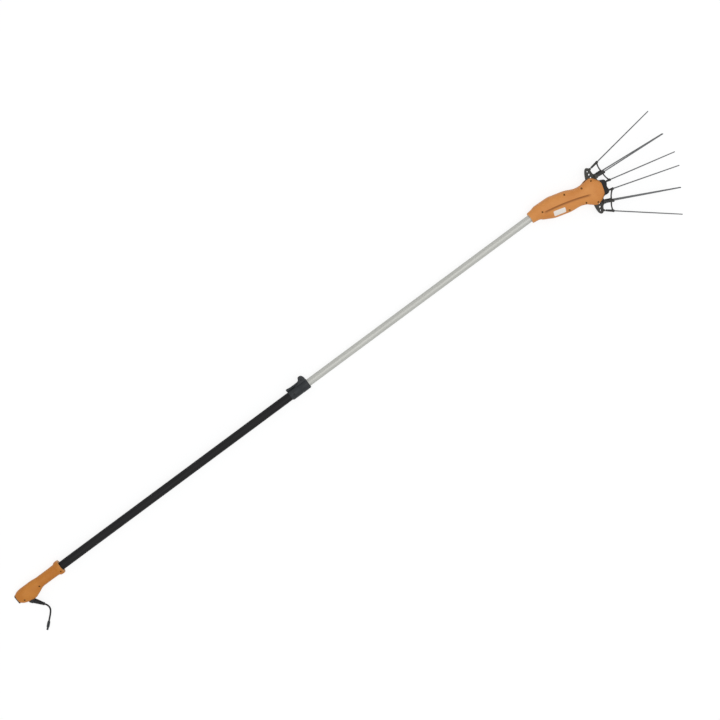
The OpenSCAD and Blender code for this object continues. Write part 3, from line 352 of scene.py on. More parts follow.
def drawn_tube():
    material, ink = new_finish("satin_tube")
    lines = grain(ink, 1600, 3, (0.004, 1, 1))
    cloud = grain(ink, 7, 3).ramp()
    nicks = grain(ink, 130, 4, (0.2, 1, 1)).ramp(0.66, 0.78)
    colour = lines.ramp().between(paint(174, 174, 168), paint(193, 193, 187))
    colour = (nicks * 0.3 + cloud * 0.12).between(colour, NICK_GREY)
    rough = 0.46 + lines * 0.14 + nicks * 0.1
    return seal(material, ink, colour, rough, lines + nicks * 0.5, 0.03, Metallic=0.3)


charcoal_coat = coated_tube()
satin_tube = drawn_tube()

# %% [markdown]
# ## Carbon rods
# The rods are pulled carbon fibre, a dark grey with fibres that run along each rod. Rods point
# eight ways, so the noise can't be stretched along one world axis. Each rod mesh keeps an
# attribute with its own places, along and across, and the fibres are read from that.

# %% Carbon finish
WRAP_GREY = paint(88, 89, 90)


def carbon_rod():
    material, ink = new_finish("carbon_rod")
    fibres = grain(ink, 2200, 3, (0.004, 1, 1), "rod_place")
    wrap = grain(ink, 160, 2, (1, 0.3, 0.3), "rod_place").ramp(0.35, 0.65)
    colour = fibres.ramp().between(paint(76, 77, 78), paint(108, 109, 110))
    colour = (wrap * 0.25).between(colour, WRAP_GREY)
    return seal(material, ink, colour, 0.36 + fibres * 0.2, fibres, 0.03)


carbon = carbon_rod()

# %% [markdown]
# ## Metals and the blank plate
# Screws, shafts, gears, bushes and castings only need a base colour, a tool pattern and a
# roughness that wanders, so one function makes them all. The small plate on the head is a bare
# white film with a soft sheen and a little soil.

# %% Metal and film finishes
STAIN_BROWN = paint(90, 84, 76)


def worked_metal(name, colour, worn, rough, scale):
    material, ink = new_finish(name)
    tool = grain(ink, scale)
    stain = grain(ink, 60, 4).ramp(0.5, 0.8)
    tone = tool.ramp().between(colour, worn)
    tone = (stain * 0.25).between(tone, STAIN_BROWN)
    return seal(material, ink, tone, rough + tool * 0.15 + stain * 0.1, tool, 0.05, Metallic=1.0)


def white_film():
    material, ink = new_finish("white_film")
    shade_and_soil = grain(ink, 180, 5).ramp(0.5, 0.85)
    fibre = grain(ink, 2600, 2)
    colour = (shade_and_soil * 0.3 + edges(ink) * 0.2).between(paint(232, 225, 217), paint(203, 188, 174))
    return seal(material, ink, colour, 0.3 + shade_and_soil * 0.25, fibre, 0.02)


ground_steel = worked_metal("ground_steel", paint(176, 178, 181), paint(205, 206, 208), 0.22, 1500)
yellow_zinc = worked_metal("yellow_zinc", paint(112, 80, 42), paint(140, 104, 60), 0.35, 1200)
dark_zinc = worked_metal("dark_zinc", paint(42, 43, 45), paint(58, 59, 61), 0.45, 1200)
cast_alloy = worked_metal("cast_alloy", paint(168, 170, 172), paint(190, 191, 193), 0.45, 700)
bush_bronze = worked_metal("bush_bronze", paint(186, 142, 80), paint(206, 164, 100), 0.35, 1100)
plate_film = white_film()

# %% [markdown]
# ## Mesh helpers
# Three ways of making a solid cover nearly every piece: a turned profile, a flat outline with
# rounded edges and holes, and a loft of rings. Each returns its points in millimetres and its
# faces. Rounded edges are built into the meshes, because a real moulding has no sharp edge and
# the rounding catches the light.

# %% Turned solids
def even(first, last, steps):
    """Numbers from first to last in equal steps."""
    return [first + (last - first) * k / steps for k in range(steps + 1)]


def at(origin, heading):
    """A frame at origin, with its X axis along heading."""
    turn = Vector(heading).to_track_quat("X", "Z").to_matrix().to_4x4()
    return Matrix.Translation(Vector(origin)) @ turn


def upright(x, y, side=1):
    """A frame with its X axis straight up, or straight down where side is -1."""
    return at((x, y, 0), (0, 0, side))


def band(first, second, count):
    """The faces between two closed rings whose points start at first and at second."""
    return [(first + k, first + (k + 1) % count, second + (k + 1) % count, second + k)
            for k in range(count)]


def skin(rings, count, closed=False):
    """The faces over a row of rings, with a cap on both ends unless the row is closed."""
    faces = []
    for i in range(rings if closed else rings - 1):
        faces += band(i * count, (i + 1) % rings * count, count)
    if not closed:
        faces += [tuple(range(count)), tuple(range((rings - 1) * count, rings * count))]
    return faces


def turned(profile, place, closed=False, steps=40):
    """The profile's (along, radius) pairs, turned about the X axis of place."""
    points = []
    for along, radius in profile:
        for t in even(0, 2 * math.pi, steps)[:-1]:
            points.append(place @ Vector((along, radius * math.cos(t), radius * math.sin(t))))
    return points, skin(len(profile), steps, closed)


def bar(low, high, radius, place):
    """A plain round bar along the X axis of place."""
    return turned([(low, radius), (high, radius)], place)


print("a plain bar has", len(bar(0, 1, 1, Matrix())[1]), "faces")

# %% Outlines
CORNER_SHARE, LEAST_LEAN = 0.48, 0.5


def bow(first, corner, last, u):
    """A point of the curve from first to last that is drawn toward corner."""
    return (1 - u) ** 2 * first + 2 * u * (1 - u) * corner + u * u * last


def soften(corners, radius, steps=4):
    """A closed outline with each corner rounded."""
    made, count = [], len(corners)
    corners = [Vector(c) for c in corners]
    for i, corner in enumerate(corners):
        ends = []
        for other in (corners[i - 1], corners[(i + 1) % count]):
            side = other - corner
            ends.append(corner + side.normalized() * min(radius, side.length * CORNER_SHARE))
        made += [bow(ends[0], corner, ends[1], u) for u in even(0, 1, steps)]
    return made


def circle(x, y, radius, steps=32):
    turns = even(0, 2 * math.pi, steps)[:-1]
    return [Vector((x + radius * math.cos(t), y + radius * math.sin(t))) for t in turns]


def wound(loop, left):
    """The loop, running anticlockwise where left is true."""
    loop = [Vector(p[:2]) for p in loop]
    area = sum(p.x * q.y - q.x * p.y for p, q in zip(loop, loop[1:] + loop[:1]))
    return loop if (area > 0) == left else loop[::-1]


def shrunk(loop, distance):
    """The loop with each corner moved to its left by distance."""
    made = []
    for i, corner in enumerate(loop):
        ahead = (loop[(i + 1) % len(loop)] - corner).normalized()
        behind = (corner - loop[i - 1]).normalized()
        side = Vector((-ahead.y - behind.y, ahead.x + behind.x)).normalized()
        lean = max(side.dot(Vector((-ahead.y, ahead.x))), LEAST_LEAN)
        made.append(corner + side * (distance / lean))
    return made


print("a softened square has", len(soften([(0, 0), (1, 0), (1, 1), (0, 1)], 0.2)), "corners")

# %% Flat pieces with rounded edges
EDGE_TURNS = [math.radians(turn) for turn in (0, 30, 60, 90)]


def plate(outline, low, high, edge, holes=(), place=Matrix()):
    """A flat solid between two heights, with round edges at its rim and its holes."""
    loops = [wound(outline, True)] + [wound(hole, False) for hole in holes]
    levels = [(low + edge * (1 - math.cos(t)), edge * (1 - math.sin(t))) for t in EDGE_TURNS]
    levels += [(high + low - z, inset) for z, inset in reversed(levels)]
    points, faces, size = [], [], sum(len(loop) for loop in loops)
    for z, inset in levels:
        for loop in loops:
            points += [Vector((p.x, p.y, z)) for p in shrunk(loop, inset)]
    for level in range(len(levels) - 1):
        start = level * size
        for loop in loops:
            faces += band(start, start + size, len(loop))
            start += len(loop)
    for start in (0, (len(levels) - 1) * size):
        flat, first = [], start
        for loop in loops:
            flat.append(points[first:first + len(loop)])
            first += len(loop)
        faces += [tuple(start + i for i in face) for face in tessellate_polygon(flat)]
    return [place @ p for p in points], faces


print("plates have", 2 * len(EDGE_TURNS), "levels")

# %% Joining and cutting
WELD_GAP = 1e-6


def joined(*solids):
    """Several solids as one list of points and one of faces."""
    points, faces = [], []
    for more, sides in solids:
        faces += [tuple(i + len(points) for i in side) for side in sides]
        points += list(more)
    return points, faces


def mesh_of(name, solid):
    """A mesh in metres, with doubled points welded and its faces turned outward."""
    mesh = bpy.data.meshes.new(name)
    mesh.from_pydata([Vector(p) * MM for p in solid[0]], [], solid[1])
    work = bmesh.new()
    work.from_mesh(mesh)
    bmesh.ops.remove_doubles(work, verts=work.verts, dist=WELD_GAP)
    bmesh.ops.recalc_face_normals(work, faces=work.faces)
    work.to_mesh(mesh)
    work.free()
    return mesh


def solid_of(mesh):
    """A mesh's points in millimetres and its faces."""
    return [v.co / MM for v in mesh.vertices], [tuple(f.vertices) for f in mesh.polygons]


def shaped(name, base, added=(), cut=()):
    """The base solid with others added to it and then others cut from it."""
    items = [put(name, mesh_of(name, base))]
    for operation, solids in (("UNION", added), ("DIFFERENCE", cut)):
        for solid in solids:
            tool = put("tool", mesh_of("tool", solid))
            items.append(tool)
            carve = items[0].modifiers.new("carve", "BOOLEAN")
            carve.operation, carve.solver, carve.object = operation, "EXACT", tool
    bpy.context.view_layer.update()
    graph = bpy.context.evaluated_depsgraph_get()
    mesh = bpy.data.meshes.new_from_object(items[0].evaluated_get(graph))
    for item in items:
        bpy.data.objects.remove(item)
    return mesh


print("points within", WELD_GAP / MM, "mm are welded")

# %% Placing a piece
SHARP_TURN = math.radians(38)


def add_piece(name, mesh, body, finish, slot, *stood_for):
    """A finished piece that rides on a body and may stand for pieces of the CAD model."""
    piece = put(name, mesh)
    mesh.materials.clear()
    mesh.materials.append(finish)
    mesh.shade_smooth()
    mesh.set_sharp_from_angle(angle=SHARP_TURN)
    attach(piece, body)
    if stood_for:
        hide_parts(*stood_for)
    print(name, "has", len(mesh.polygons), "faces and rides on", body)
    return piece


def add_solids(name, solids, *rest):
    """A piece whose mesh is these solids, side by side."""
    return add_piece(name, mesh_of(name, joined(*solids)), *rest)


print("edges that turn by more than", round(math.degrees(SHARP_TURN)), "degrees stay sharp")

# %% [markdown]
# ## Lofted half shells
# Handle and head are each two half shells that meet in a seam. Both could be carved by hand, but
# their sections are close to a squared ellipse whose width and depth change along the length, so
# a loft of rings is exact and easy to change. The tables give shares of the largest size, as the
# CAD solid has them, and a smooth curve runs through them.

# %% Curves through a few shares
def curve_at(x, table):
    """A smooth curve through the table's points that never overshoots them."""
    i = max(k for k in range(len(table) - 1) if k == 0 or x >= table[k][0])
    rise = [(q[1] - p[1]) / (q[0] - p[0]) for p, q in zip(table, table[1:])]

    def slope(k):
        if k in (0, len(table) - 1):
            return rise[min(k, len(rise) - 1)]
        if rise[k - 1] * rise[k] <= 0:
            return 0
        return 2 / (1 / rise[k - 1] + 1 / rise[k])

    run = table[i + 1][0] - table[i][0]
    u = (x - table[i][0]) / run
    return (table[i][1] * (1 + 2 * u) * (1 - u) ** 2 + slope(i) * run * u * (1 - u) ** 2
            + table[i + 1][1] * u * u * (3 - 2 * u) - slope(i + 1) * run * u * u * (1 - u))


def ease(x, start, run):
    """0 before start and 1 after the run, with a smooth rise between."""
    u = min(max((x - start) / run, 0), 1)
    return u * u * (3 - 2 * u)


print("half way up an ease is", ease(0.5, 0, 1))

# %% Arches and shells
SEAM_LIP, SEAM_DEPTH, PLAIN_ROUND = 0.9, 0.6, 2
HALVES = ((1, "top"), (-1, "bottom"))


def arch_point(half_w, half_h, square, turn):
    """A point of a squared ellipse, which is a plain one where square is 2."""
    c, s = math.cos(turn), max(math.sin(turn), 0)
    return half_w * math.copysign(abs(c) ** (2 / square), c), half_h * s ** (2 / square)


def arch_height(half_w, half_h, square, across):
    """The height of a squared ellipse at a place across it."""
    return half_h * (1 - min(1, abs(across / half_w)) ** square) ** (1 / square)


def turn_at(height, half_h, square):
    """The turn at which a squared ellipse reaches a height."""
    return math.asin(min(1, max(height / half_h, 0) ** (square / 2)))


def outer_arch(half_w, half_h, square, floor, turns):
    """The outside of a half shell, pulled in at its lips so that the seam shows as a line."""
    first, lip = turn_at(floor, half_h, square), turn_at(floor + SEAM_LIP, half_h, square)
    inside = [t for t in turns if lip < t < math.pi - lip]
    turns = [first, lip, *inside, math.pi - lip, math.pi - first]
    made = [list(arch_point(half_w, half_h, square, t)) for t in turns]
    for end in (made[0], made[-1]):
        end[0] *= 1 - SEAM_DEPTH / half_w
    return made


def shell(rings):
    """A closed half shell from rings that run over the outside and back along the inside."""
    size, last = len(rings[0]), len(rings) - 1
    points, faces = [p for ring in rings for p in ring], []
    for i in range(last):
        faces += band(i * size, (i + 1) * size, size)
    for start in (0, last * size):
        faces += [(start + k, start + k + 1, start + size - 2 - k, start + size - 1 - k)
                  for k in range(size // 2 - 1)]
    return points, faces


print("a half shell's lips are", SEAM_LIP, "mm high")

# %% Wells and posts
SCREW_SINK, SEAM_GAP, WELL_SIDES, ROUND_STEPS = 6, 0.05, 28, 16
MOUTH_DROP, MOUTH_RISE, MOUTH_REACH = 0.7, 0.8, 8


def drilled(x, y, radius, low, high, side, mouth=0):
    """An upright round solid, widened by mouth above its top where it cuts a well."""
    profile = [(low, radius), (high, radius)]
    if mouth:
        profile += [(high + MOUTH_RISE, radius + mouth), (high + MOUTH_REACH, radius + mouth)]
    return turned(profile, upright(x, y, side), steps=WELL_SIDES)


def lowest_round(height, x, y, radius):
    """The lowest height of a surface round a boss, so that the boss stays under it."""
    turns = even(0, 2 * math.pi, ROUND_STEPS)
    return min(height(x + radius * math.cos(t), y + radius * math.sin(t)) for t in turns)


print("screw heads sit", SCREW_SINK, "mm deep")

# %% [markdown]
# ## Handle
# The handle has a flared collar where the pole goes in, a slim straight grip, and a belly that
# hangs to one side where the lead comes out. Screws sit deep in wells on its upper half, and a set
# screw in the collar bears on the pole. The wells, the posts below them and the lead's boss are
# joined and cut with exact booleans, as in the real mould, so that each half stays one closed skin.

# %% Handle form
HANDLE_LEN, HANDLE_W, HANDLE_H, HANDLE_WALL = 217, 33.5, 27, 3
HANDLE_SQUARE, HANDLE_BORE, HANDLE_SEAT, BELLY_SHARE = 2.3, 17.75, 60, 0.715
HANDLE_RINGS, ARCH_START, ARCH_STEPS = 110, 0.2, 40
handle_width_shares = [
    (0, 0.84), (0.03, 0.87), (0.08, 0.84), (0.115, 0.7), (0.28, 0.67), (0.46, 0.67),
    (0.62, 0.9), (0.715, 1), (0.857, 0.94), (0.945, 0.8), (1, 0.58),
]
handle_shift_shares = [(0, 0), (0.44, 0), (0.62, 0.15), (0.715, 0.25), (0.857, 0.19), (1, 0.09)]
handle_depth_shares = [
    (0, 0.96), (0.03, 1), (0.08, 0.96), (0.115, 0.83), (0.28, 0.8), (0.5, 0.8),
    (0.715, 0.89), (0.857, 0.89), (0.945, 0.8), (1, 0.62),
]


def handle_form(t):
    """Half width, half depth and sideways shift at a share of the length."""
    return (HANDLE_W * curve_at(t, handle_width_shares),
            HANDLE_H * curve_at(t, handle_depth_shares),
            -HANDLE_W * curve_at(t, handle_shift_shares))


def handle_ring(t, side):
    """One ring of a handle half, round inside where the pole goes in."""
    half_w, half_h, shift = handle_form(t)
    inner = (half_w - HANDLE_WALL, half_h - HANDLE_WALL, HANDLE_SQUARE)
    if t * HANDLE_LEN <= HANDLE_SEAT:
        inner = (HANDLE_BORE, HANDLE_BORE, PLAIN_ROUND)
    turns = even(ARCH_START, math.pi - ARCH_START, ARCH_STEPS)
    over = outer_arch(half_w, half_h, HANDLE_SQUARE, 0, turns)
    under = [arch_point(*inner, math.pi * (1 - k / (len(over) - 1))) for k in range(len(over))]
    return [(-HANDLE_LEN * t, shift + y, side * z) for y, z in over + under]


def handle_height(x, y):
    half_w, half_h, shift = handle_form(-x / HANDLE_LEN)
    return arch_height(half_w, half_h, HANDLE_SQUARE, y - shift)


print("handle is", [round(2 * v) for v in handle_form(BELLY_SHARE)[:2]], "mm at its belly")

# %% Handle screws' places and the lead's boss
HANDLE_SCREW_SHARES, MOUTH_SCREW_SHARE = [(0.525, -0.295), (0.895, -0.58)], (0.042, -0.37)
*handle_screw_places, mouth_screw_place = [
    (-HANDLE_LEN * a, HANDLE_W * b) for a, b in HANDLE_SCREW_SHARES + [MOUTH_SCREW_SHARE]]
GUARD_TURN, GUARD_SHARES = math.radians(-56.7), (0.816, 1.16)
guard_root = (-HANDLE_LEN * GUARD_SHARES[0], -HANDLE_W * GUARD_SHARES[1], 0)
guard_place = at(guard_root, (math.cos(GUARD_TURN), math.sin(GUARD_TURN), 0))
SEAM_TURN, BOSS_STEPS = 0.03, 24
boss_profile = [(-10, 10.5), (6.6, 10.5), (7.6, 10.1), (8, 9.3)]


def boss_half(side):
    """Half of the round boss that the lead leaves through, cut off at the seam."""
    points, turns = [], even(SEAM_TURN, math.pi - SEAM_TURN, BOSS_STEPS)
    for along, radius in boss_profile:
        ring = [(along, radius * math.cos(t), side * radius * math.sin(t)) for t in turns]
        points += [guard_place @ Vector(p) for p in ring]
    return points, skin(len(boss_profile), len(turns))


print("lead's boss is", 2 * boss_profile[0][1], "mm across")

# %% Handle shells
POST_RADIUS, POST_DROP, HANDLE_WELL, HANDLE_MOUTH = 4, 1, 3.4, 0.7
SHAFT_HOLE, SHAFT_FOOT, SHAFT_DROP, SHAFT_BITE = 1.8, -1, 3, 10
# The well runs from low to high along the guard, with its radius last.
GUARD_WELL = (-16.2, 12, 5.2)
for side, half in HALVES:
    rings = [handle_ring(t, side) for t in even(0, 1, HANDLE_RINGS)]
    posts, wells = [boss_half(side)], [bar(*GUARD_WELL, guard_place)]
    for x, y in handle_screw_places:
        post_top = lowest_round(handle_height, x, y, POST_RADIUS) - POST_DROP
        posts.append(drilled(x, y, POST_RADIUS, SEAM_GAP, post_top, side))
    for x, y in handle_screw_places + [mouth_screw_place] if side > 0 else handle_screw_places:
        top, shaft_top = handle_height(x, y), SHAFT_BITE
        if side > 0:
            seat, rim, shaft_top = top - SCREW_SINK, top - MOUTH_DROP, top - SHAFT_DROP
            wells.append(drilled(x, y, HANDLE_WELL, seat, rim, side, HANDLE_MOUTH))
        wells.append(drilled(x, y, SHAFT_HOLE, SHAFT_FOOT, shaft_top, side))
    mesh = shaped("handle_half", shell(rings), posts, wells)
    add_piece("handle_moulding_" + half, mesh, "pole", handle_amber, "orange_shell",
              "handle_shell_" + half)

# %% [markdown]
# ## Screws
# Every screw is a pan head with a cross recess, far down in its well. One screw of each length is
# turned and cut, and its mesh is then copied to each place, which is how a maker would buy them.

# %% Screws in the handle
SCREW_HEAD_T, RECESS_DEPTH, RECESS_RISE = 2.4, 1.3, 2
RECESS_HALF, RECESS_SHARE, RECESS_EDGE = 0.55, 0.62, 0.15
HANDLE_SCREW, HANDLE_SCREW_LEN, SET_SCREW_LEN = (1.6, 3.2), 16, 5
POINT_LEN, POINT_SHARE = 1, 0.6
pan_shares = [(0, 1), (0.45, 1), (0.8, 0.85), (1, 0.5)]


def screw_solid(shaft, head, length):
    """A cross-recess screw that stands on the origin, with its shaft below."""
    top, reach = SCREW_HEAD_T, head * RECESS_SHARE
    profile = [(-length, shaft * POINT_SHARE), (POINT_LEN - length, shaft), (0, shaft)]
    profile += [(top * rise, head * width) for rise, width in pan_shares]
    recess = []
    for a, b in ((reach, RECESS_HALF), (RECESS_HALF, reach)):
        slot = [(-a, -b), (a, -b), (a, b), (-a, b)]
        recess.append(plate(slot, top - RECESS_DEPTH, top + RECESS_RISE, RECESS_EDGE))
    return solid_of(shaped("screw", turned(profile, upright(0, 0), steps=28), (), recess))


def placed(solid, place):
    return [place @ Vector(p) for p in solid[0]], solid[1]


handle_set = []
for length, spots in ((HANDLE_SCREW_LEN, handle_screw_places),
                      (SET_SCREW_LEN, [mouth_screw_place])):
    handle_screw = screw_solid(*HANDLE_SCREW, length)
    for x, y in spots:
        seat = Matrix.Translation((x, y, handle_height(x, y) - SCREW_SINK))
        handle_set.append(placed(handle_screw, seat))
add_solids("handle_screw_set", handle_set, "pole", yellow_zinc, "zinc_screw", "handle_screws")

# %% [markdown]
# ## Switch
# The flat rear end of the handle holds a rocker switch: a rounded bezel, a body behind it and a
# dished rocker on two trunnions that rides on its own body, so that it tips when the joint moves.

# %% Switch bezel and body
SWITCH_X, SWITCH_Y = -HANDLE_LEN, -HANDLE_W * handle_shift_shares[-1][1]
switch_place = Matrix(((0, 0, 1, SWITCH_X), (1, 0, 0, SWITCH_Y), (0, 1, 0, 0), (0, 0, 0, 1)))
# Sizes are width, height and corner radius, and levels are front, back and edge radius.
BEZEL_SIZE, BEZEL_LEVELS = (37, 30, 8), (-4.2, 0, 1.4)
BOX_SIZE, BOX_LEVELS, LID_LEVELS = (25, 17, 1), (-1, 16, 0.3), (15.8, 18, 0.3)
WINDOW_SIZE = (20.6, 12.6, 0.8)


def rectangle(width, height, radius):
    x, y = width / 2, height / 2
    return soften([(-x, -y), (x, -y), (x, y), (-x, y)], radius)


window = [rectangle(*WINDOW_SIZE)]
switch_parts = [plate(rectangle(*size), *levels, holes, switch_place) for size, levels, holes in (
    (BEZEL_SIZE, BEZEL_LEVELS, window), (BOX_SIZE, BOX_LEVELS, window), (BOX_SIZE, LID_LEVELS, ()))]
add_solids("switch_bezel", switch_parts, "pole", black_nylon, "black_plastic", "switch_frame")

# %% Switch rocker
ROCKER_W, ROCKER_H, ROCKER_EDGE, ROCKER_TILT = 19.4, 11.6, 0.7, math.radians(7)
ROCKER_AXIS, ROCKER_BACK, ROCKER_FACE = 7, 5, -10
DISH_REACH, DISH_DEPTH, DISH_STEPS = ROCKER_W / 2 - 1, 3, 14
GRIP_BARS = (5.6, 6.6, 7.6)
trunnions = [(-7.5, 1.3), (-7.3, 1.5), (7.3, 1.5), (7.5, 1.3)]
grip_bar = [(-4, 0.1), (-3.7, 0.35), (3.7, 0.35), (4, 0.1)]


def dish_at(y):
    """Where the dished face lies at a place across it."""
    return ROCKER_FACE + DISH_DEPTH * (1 - (y / DISH_REACH) ** 2)


dish = [(dish_at(y), y) for y in even(DISH_REACH, -DISH_REACH, DISH_STEPS)]
rocker_outline = [(ROCKER_BACK, -ROCKER_W / 4), (ROCKER_BACK, ROCKER_W / 4), (0, DISH_REACH), *dish,
                  (0, -DISH_REACH)]
rocker_place = Matrix.Translation((SWITCH_X + ROCKER_AXIS, SWITCH_Y, 0))
rocker_place = rocker_place @ Matrix.Rotation(ROCKER_TILT, 4, "Z")
rocker = [plate(rocker_outline, -ROCKER_H / 2, ROCKER_H / 2, ROCKER_EDGE, (), rocker_place),
          turned(trunnions, rocker_place @ upright(0, 0), steps=24)]
rocker += [turned(grip_bar, rocker_place @ upright(dish_at(y), y), steps=12) for y in GRIP_BARS]
add_solids("switch_rocker_dished", rocker, "rocker", black_nylon, "black_plastic", "switch_rocker")

# %% [markdown]
# ## Bend guard and plug
# The guard is a tapered rubber sleeve with rounded ribs that lets the lead bend gently. Its root
# is a cup that grips the boss on the handle. The connector at the far end has a grip of shallow
# rings and a barrel with a pin inside. Both are round all along, so a turned profile is the
# natural way to make them.

# %% Bend guard
RIBS, RIB_START, RIB_STEP, RIB_ROOT, RIB_TAPER = 8, 13, 4.9, 10.3, 3.7
rib_shape = [(0, -0.9), (1.1, -0.9), (1.5, -0.2), (2.1, 0), (3.4, -0.1), (4, -0.4)]
guard_profile = [
    (-16, 3.5), (-16, 5), (8.2, 5), (8.2, 10.7), (-5.4, 10.7), (-5.6, 11.9), (-4.6, 12.4),
    (7.4, 12.4), (9, 11.9), (9.8, 11), (12, 10.4),
]
for i in range(RIBS):
    x, radius = RIB_START + RIB_STEP * i, RIB_ROOT - RIB_TAPER * i / (RIBS - 1)
    guard_profile += [(x + along, radius + rise) for along, rise in rib_shape]
guard_profile += [(53.6, 6.1), (54.7, 5.7), (55, 5.1), (55, 3.5)]
add_solids("ribbed_guard", [turned(guard_profile, guard_place, True)], "pole", black_rubber,
           "black_rubber", "strain_relief")

# %% Connector
GRIP_RINGS = (9, 12, 15, 18)
ring_shape = [(0, 6), (0.4, 5.5), (1.4, 5.5), (1.8, 6)]
plug_profile = [(0, 3.4), (0.4, 4.3), (6.2, 5.9), (7, 6)]
plug_profile += [(x + along, radius) for x in GRIP_RINGS for along, radius in ring_shape]
plug_profile += [(23, 6), (25.6, 5.7), (26, 5.3), (26, 4), (37.4, 4), (38, 3.5), (38, 2.4),
                 (30, 2.4), (30, 0.9), (36, 0.9), (36.5, 0.4)]
plug_place = at(lead_route[-1], Vector(lead_route[-1]) - Vector(lead_route[-2]))
lead_plug = add_solids("lead_connector", [turned(plug_profile, plug_place)], "pole", black_nylon,
                       "black_plastic", "lead_plug")

# %% The lead as a cord
lead_curve.materials.append(black_rubber)
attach(power_lead, "pole")
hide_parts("power_lead")
print("lead is", 2 * LEAD_RADIUS, "mm across")

# %% [markdown]
# ## Curly lead in the pole
# Inside the pole a curly lead joins the handle to the head and stretches as the tubes slide. The
# CAD frame holds its room as one plain cylinder. Here it is a real helix that rides on the pole.

# %% Curly lead
COIL_TURNS, COIL_START, COIL_END, COIL_RADIUS, WIRE_RADIUS = 34, -58, 1020, 6.4, 2.4
COIL_STEPS, WIRE_SIDES = 14, 8
coil_points, coil_count = [], COIL_TURNS * COIL_STEPS
for i, x in enumerate(even(COIL_START, COIL_END, coil_count)):
    turn = 2 * math.pi * i / COIL_STEPS
    outward = Vector((0, math.cos(turn), math.sin(turn)))
    for t in even(0, 2 * math.pi, WIRE_SIDES)[:-1]:
        rise, along = COIL_RADIUS + WIRE_RADIUS * math.cos(t), WIRE_RADIUS * math.sin(t)
        coil_points.append(Vector((x, 0, 0)) + outward * rise + Vector((along, 0, 0)))
coil = (coil_points, skin(coil_count + 1, WIRE_SIDES))
curly_lead = add_solids("curly_lead", [coil], "pole", black_rubber, "black_rubber", "pole_lead")
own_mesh(curly_lead)

# %% [markdown]
# ## Pole clamp
# A thick black collar is held on the rear tube by two screws and carries an over-centre lever
# between two humped cheeks. Lifting the lever frees the front tube. The collar is turned, the
# cheeks are plates with round edges, and the pockets for the pad, the cam and the pin are cut last.

# %% Clamp collar
LEVER_X, LEVER_Y, COLLAR_SIDES = 1214, 30, 64
CHEEK_CORNER, CHEEK_LEVELS, CHEEK_EDGE = 4, ((7.5, 12.5), (-12.5, -7.5)), 1.2
# Each pocket runs from low to high along its axis, with its radius last.
PAD_POCKET, CAM_POCKET, PIN_BORE = (5, 30, 7.15), (-7.5, 7.5, 11.5), (-20, 20, 3)
lever_axis = upright(LEVER_X, LEVER_Y)
collar_profile = [
    (1141, 18.4), (1142, 19.6), (1144, 20.8), (1147, 21.5), (1186, 21.5), (1187.2, 20.7),
    (1189.8, 20.7), (1191, 21.5), (1225, 21.5), (1227.6, 20.9), (1229.4, 19.6), (1230, 18.3),
    (1230, 17.35), (1226, 17.35), (1226, 15.35), (1190, 15.35), (1190, 17.65), (1141, 17.65),
]
cheek_outline = soften([
    (1228.6, 16.5), (1228.4, 25), (1226, 33), (1222, 40), (1216, 42), (1208, 42), (1204.5, 38),
    (1201, 31), (1193, 25), (1180, 21), (1172, 19.6), (1172, 17.8),
], CHEEK_CORNER)
cheeks = [plate(cheek_outline, *levels, CHEEK_EDGE) for levels in CHEEK_LEVELS]
pockets = [bar(*PAD_POCKET, at((LEVER_X, 0, 0), (0, 1, 0))), bar(*CAM_POCKET, lever_axis),
           bar(*PIN_BORE, lever_axis)]
mesh = shaped("collar", turned(collar_profile, Matrix(), True, COLLAR_SIDES), cheeks, pockets)
add_piece("clamp_body", mesh, "pole", black_nylon, "black_plastic", "clamp_collar")

# %% Clamp lever
CAM_RADIUS, CAM_DROP, CAM_TURNS, CAM_STEPS = 10, 1.2, (-115, 140), 22
LEVER_HALF, LEVER_EDGE, LEVER_CORNER, LEVER_BORE = 7, 1.1, 2.5, 3.05
RIDGES, RIDGE_Y, RIDGE_END, RIDGE_RISE = (1143.5, 1146.5, 1149.5, 1152.5, 1155.5), 28.7, 1156, 0.13
ridge = [(-5.6, 0.2), (-5, 0.8), (5, 0.8), (5.6, 0.2)]
cam = [(LEVER_X + CAM_RADIUS * math.cos(t), LEVER_Y - CAM_DROP + CAM_RADIUS * math.sin(t))
       for t in even(*[math.radians(turn) for turn in CAM_TURNS], CAM_STEPS)]
lever_outline = cam + soften([
    (1203.6, 33.6), (1199.5, 30.4), (1193, 28.6), (1180, 28.2), (1162, 28.4), (1150, 29.2),
    (1139.4, 31), (1138.6, 20), (1141.4, 19.6), (1144, 22.2), (1162, 22), (1190, 22),
    (1202, 22.2), (1206, 21.2),
], LEVER_CORNER)
lever_hole = [circle(LEVER_X, LEVER_Y, LEVER_BORE)]
lever = [plate(lever_outline, -LEVER_HALF, LEVER_HALF, LEVER_EDGE, lever_hole)]
for x in RIDGES:
    y = RIDGE_Y + max(0, (RIDGE_END - x) * RIDGE_RISE)
    lever.append(turned(ridge, upright(x, y), steps=14))
add_solids("clamp_lever_moulding", lever, "lever", black_nylon, "black_plastic", "clamp_lever")

# %% Clamp rivet and screws
BUTTON_X = 1157.33
rivet = [(-13.6, 1.2), (-13.4, 2.6), (-12.6, 4), (-12.5, 4), (-12.5, 3), (12.5, 3), (12.5, 4),
         (12.6, 4), (13.4, 2.6), (13.6, 1.2)]
add_solids("lever_rivet", [turned(rivet, lever_axis)], "pole", dark_zinc, "steel", "lever_pin")
button = [(15.9, 2), (21.2, 2), (21.2, 3.7), (21.9, 3.5), (22.6, 2.6), (22.8, 1.6), (21.6, 1.4)]
buttons = [turned(button, upright(BUTTON_X, 0, side), steps=28) for side in (1, -1)]
add_solids("collar_button_screws", buttons, "pole", dark_zinc, "zinc_screw", "collar_screws")

# %% [markdown]
# ## Head
# The head swells from a slim collar into a deep body over the motor, waists in, and flares again
# over the comb pivots, where an open slot lets the arms out. A long moulded crease runs down its
# upper face. The crease needs its own narrow columns in the loft, so the rings are dense along it
# and plain elsewhere.

